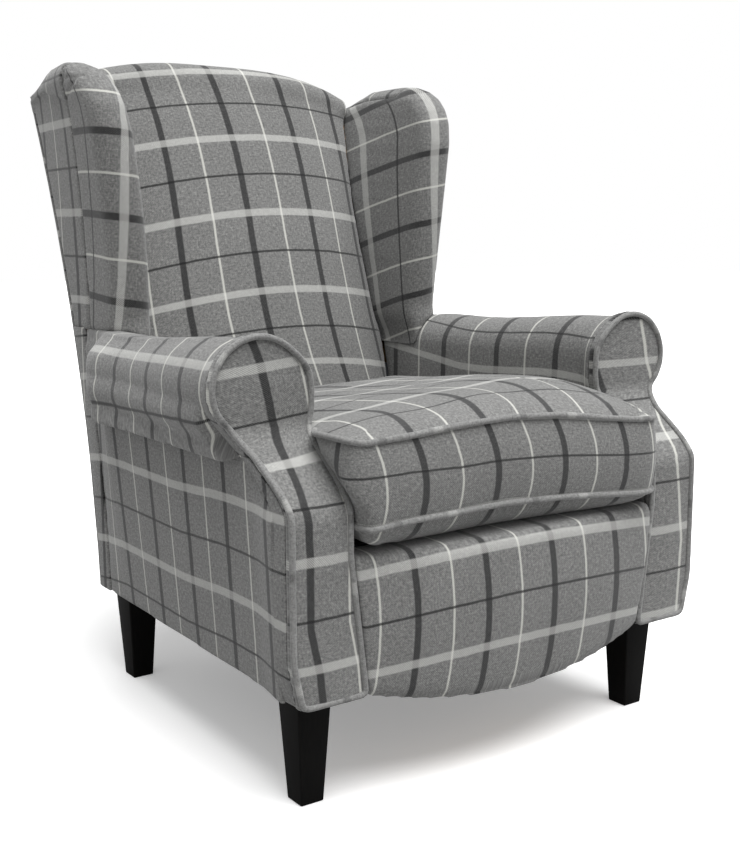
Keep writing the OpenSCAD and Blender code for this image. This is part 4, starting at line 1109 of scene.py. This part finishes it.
# Front border
border = {"voxel": 0.0045, "crown": 0.025, "half": 0.248, "tuck": 0.0098, "tuckZ": 0.215, "tuckRun": 0.095,
          "belly": 0.003, "bellyZ": 0.19, "bellyRun": 0.155, "hang": 0.0025, "hangZ": 0.165, "hangRun": 0.02,
          "face": 0.004, "faceRun": 0.008, "lip": 0.014, "lipZ": 0.32, "midZ": 0.25, "rangeX": (-0.27, 0.27),
          "rangeZ": (-0.11, 0.09), "lastRow": 2.86}
borderColumns = (4.199, 16.637, 0.635, -5.94, 0.774, 13.071, -4.788)
borderRows = (1.172, -0.086, -14.574, -2.859, 0.337, 4.984)


def borderFace(x):
    return line["frontY"] + border["crown"] * (np.abs(x) / border["half"]) ** 2.2


def buildBorder():
    piece = softCopy("front_border", "frontBorder", border["voxel"], 8)
    co = meshArrays(piece)
    # the lower part turns under, the upper part swells forward
    s = border
    ahead = 1 - smooth((co[:, 1] - borderFace(co[:, 0]) - s["face"]) / s["faceRun"])
    share = np.clip((s["tuckZ"] - co[:, 2]) / s["tuckRun"], 0, 1)
    swell = np.sin(np.pi * np.clip((co[:, 2] - s["bellyZ"]) / s["bellyRun"], 0, 1))
    co[:, 1] += ahead * (s["tuck"] * share ** 2 - s["belly"] * swell)
    co[:, 2] -= s["hang"] * (1 - smooth((co[:, 2] - s["hangZ"]) / s["hangRun"]))
    writePoints(piece, co)
    subdivide(piece)

    def pattern(p, n, c):
        x, z = p[:, 0], p[:, 2]
        over = np.maximum(0, p[:, 1] - borderFace(x) - s["lip"])
        columns = countAt(borderColumns, x, z - s["midZ"], s["rangeX"], s["rangeZ"])
        rows = np.minimum(countAt(borderRows, x, z - s["midZ"], s["rangeX"], s["rangeZ"]), s["lastRow"])
        return (columns + 1) * halfAcross, -rows * halfAlong + np.where(c[:, 2] > s["lipZ"], over, -over)

    cover(piece, pattern, "chair", "front_border")
    print("front border built")


buildBorder()


# Wood, metal and plain cloths
def plainMaterial(name, base, second, scale, stretch=(1, 1, 1), roughness=(0.85, 0.95), metallic=0.0, specular=0.5):
    material, tree = emptyMaterial(name)
    place = addNode(tree, "ShaderNodeTexCoord").outputs["Object"]
    mapped = addNode(tree, "ShaderNodeMapping", {"Scale": stretch}, Vector=place)
    noise = addNode(tree, "ShaderNodeTexNoise", {"Scale": scale, "Detail": 6.0, "Roughness": 0.6},
                    Vector=mapped.outputs[0]).outputs[0]
    ramp = addNode(tree, "ShaderNodeValToRGB", Fac=noise)
    setRamp(ramp, (0.35, base), (0.68, second))
    rough = mapRange(tree, noise, 0.0, 1.0, *roughness)
    bump = addNode(tree, "ShaderNodeBump", {"Strength": 0.4, "Distance": 0.0002}, Height=noise)
    shader = addNode(tree, "ShaderNodeBsdfPrincipled", {"Metallic": metallic, "Specular IOR Level": specular},
                     Base_Color=ramp.outputs[0], Roughness=rough, Normal=bump.outputs[0])
    addNode(tree, "ShaderNodeOutputMaterial", Surface=shader.outputs[0])
    return material


# Black stain under satin lacquer: near black, grain only just shows, broad soft highlight
legWood = plainMaterial("blackStainedBeech", "#050505", "#0d0c0b", 60, (8, 8, 0.7), (0.5, 0.6), specular=0.08)
# Sawn kiln-dried beech: pale, fine short flecks along the grain
frameWood = plainMaterial("sawnBeech", "#c39a68", "#dcb98a", 90, (1, 1, 0.2), (0.6, 0.75))
# Drawn wire under bright zinc: cool, slightly mottled
springWire = plainMaterial("zincPlatedWire", "#8d9096", "#b4b7bb", 300, roughness=(0.3, 0.42), metallic=1.0)
# Black bonded platform cloth over felt: flat, faintly fibrous
deckCloth = plainMaterial("blackPlatformCloth", "#1d1d1f", "#2c2c2e", 400)
# Ribbed elastic webbing: charcoal, drawn out across the straps
backWebbing = plainMaterial("elasticWebbing", "#26292c", "#3a3d41", 350, (3, 1, 1), (0.75, 0.85))
# Spun-bonded dust cloth: thin, black, matt
dustCloth = plainMaterial("blackDustCloth", "#161617", "#232325", 500)
# Moulded nylon glides: black with a low sheen
glidePlastic = plainMaterial("blackGlidePlastic", "#202021", "#2b2b2c", 250, roughness=(0.45, 0.55))
# Cut upholstery foam: cream, fine open cells
foam = plainMaterial("cushionFoam", "#e6ddc4", "#efe7d2", 300)
# Woven zip tape: black, ribbed along its length
zipCloth = plainMaterial("blackZipTape", "#1f1f21", "#2d2d30", 600, (1, 4, 1), (0.7, 0.85))
# Cast zinc slider: dull grey metal
zipMetal = plainMaterial("castZipSlider", "#6d7076", "#8f9298", 250, roughness=(0.35, 0.45), metallic=1.0)


# Cut foam inside the cover, lowered where the cushion has settled
foamSettings = {"voxel": 0.008, "edge": 0.012, "crown": 0.3, "under": 0.008}


def buildFoam():
    s = foamSettings
    piece = copyNode("cushion_core", "cushionFoamCore")
    remesh(piece, s["voxel"])
    low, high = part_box("cushion_core")
    co = meshArrays(piece)
    x, y = co[:, 0], co[:, 1]
    inset = np.minimum(cushion["half"] - np.abs(x), cushion["depth"] - np.abs(y - cushion["cy"]))
    seam = topSeamAt(x, y)
    crown = crownAt(x, y, np.maximum(inset - s["edge"], 0)) - seam
    room = np.minimum(high.z, seam + s["crown"] * crown - s["under"]) - low.z
    co[:, 2] = low.z + (co[:, 2] - low.z) / (high.z - low.z) * room
    writePoints(piece, co)
    smoothFaces(piece, 40)
    finish(piece, foam, "cushion", "cushion_core", slot="cushion_foam")


buildFoam()


def bothSides(*names):
    return [name + "_" + sideName for name in names for sideName in ("left", "right")]


nodeMaterials = {
    frameWood: ["front_rail", "bow_former", "back_rail", "crest_rail", "lower_back_rail", "corner_blocks"]
    + bothSides("side_rail", "back_post", "scroll_board", "arm_board", "arm_stump", "wing_board"),
    springWire: ["seat_springs", "spring_clips", "leg_bolts"],
    deckCloth: ["seat_deck"], backWebbing: ["back_webbing"], dustCloth: ["dust_cover"], glidePlastic: ["leg_glides"],
    zipCloth: ["zip_tape"], zipMetal: ["zip_slider"],
}
for material, names in nodeMaterials.items():
    for name in names:
        nodes[name].data.materials.clear()
        nodes[name].data.materials.append(material)


# Legs
legSettings = {"foot": 0.0355, "top": 0.053, "height": 0.155, "ease": 0.0022}


def buildLeg(name, node):
    s = legSettings
    low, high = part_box(node)
    cx, cy = (low.x + high.x) / 2, (low.y + high.y) / 2
    bpy.ops.object.select_all(action="DESELECT")
    bpy.ops.mesh.primitive_cube_add(size=1, location=(cx, cy, s["height"] / 2))
    piece = bpy.context.active_object
    piece.name = name
    piece.scale = (s["top"], s["top"], s["height"])
    bpy.ops.object.transform_apply(location=True, rotation=True, scale=True)
    co = meshArrays(piece)
    foot = co[:, 2] < s["height"] / 2
    share = s["foot"] / s["top"]
    co[foot, 0] = cx + (co[foot, 0] - cx) * share
    co[foot, 1] = cy + (co[foot, 1] - cy) * share
    writePoints(piece, co)
    bevel = piece.modifiers.new("easedEdges", "BEVEL")
    bevel.width = s["ease"]
    bevel.segments = 3
    applyModifiers(piece)
    smoothFaces(piece, 35)
    finish(piece, legWood, "chair", node, slot="black_wood")


for name, node in (("frontLegLeft", "front_leg_left"), ("frontLegRight", "front_leg_right"),
                   ("rearLegLeft", "rear_leg_left"), ("rearLegRight", "rear_leg_right")):
    buildLeg(name, node)
print("legs built")


# Studio
studio = {"floor": "#f4f4f4", "glow": 0.26, "bounce": "#a8a8a8", "world": 0.40}
# Suns: strength, spread and turn in degrees
lights = {"keyLight": (4.6, 50, (18, 0, 10)), "fillLight": (0.30, 80, (60, 0, -60))}


def buildStudio(s):
    bpy.ops.object.select_all(action="DESELECT")
    bpy.ops.mesh.primitive_plane_add(size=30, location=(0, 0, 0))
    floor = bpy.context.active_object
    floor.name = "studioFloor"
    # Seamless pale paper: lit from below a little for the camera, darker in what it gives back to the chair
    material, tree = emptyMaterial("paleFloor")
    path = addNode(tree, "ShaderNodeLightPath")
    matt = addNode(tree, "ShaderNodeBsdfDiffuse", {"Color": linearColour(s["floor"])})
    glow = addNode(tree, "ShaderNodeEmission", {"Strength": s["glow"]})
    both = addNode(tree, "ShaderNodeAddShader", _0=matt.outputs[0], _1=glow.outputs[0])
    dim = addNode(tree, "ShaderNodeBsdfDiffuse", {"Color": linearColour(s["bounce"])})
    mixed = addNode(tree, "ShaderNodeMixShader", _0=path.outputs["Is Camera Ray"], _1=dim.outputs[0],
                    _2=both.outputs[0])
    addNode(tree, "ShaderNodeOutputMaterial", Surface=mixed.outputs[0])
    floor.data.materials.append(material)

    world = bpy.data.worlds.new("studioWorld")
    scene.world = world
    world.use_nodes = True
    tree = world.node_tree
    tree.nodes.clear()
    path = addNode(tree, "ShaderNodeLightPath")
    seen = addNode(tree, "ShaderNodeMath", {"operation": "MAXIMUM"}, _0=path.outputs["Is Camera Ray"],
                   _1=path.outputs["Is Glossy Ray"]).outputs[0]
    soft = addNode(tree, "ShaderNodeBackground", {"Color": (1, 1, 1, 1), "Strength": s["world"]})
    white = addNode(tree, "ShaderNodeBackground", {"Color": (1, 1, 1, 1), "Strength": 1.0})
    mixed = addNode(tree, "ShaderNodeMixShader", _0=seen, _1=soft.outputs[0], _2=white.outputs[0])
    addNode(tree, "ShaderNodeOutputWorld", Surface=mixed.outputs[0])

    for name, (strength, spread, turn) in lights.items():
        light = bpy.data.lights.new(name, "SUN")
        light.energy = strength
        light.angle = math.radians(spread)
        lamp = bpy.data.objects.new(name, light)
        lamp.rotation_euler = [math.radians(a) for a in turn]
        scene.collection.objects.link(lamp)


buildStudio(studio)
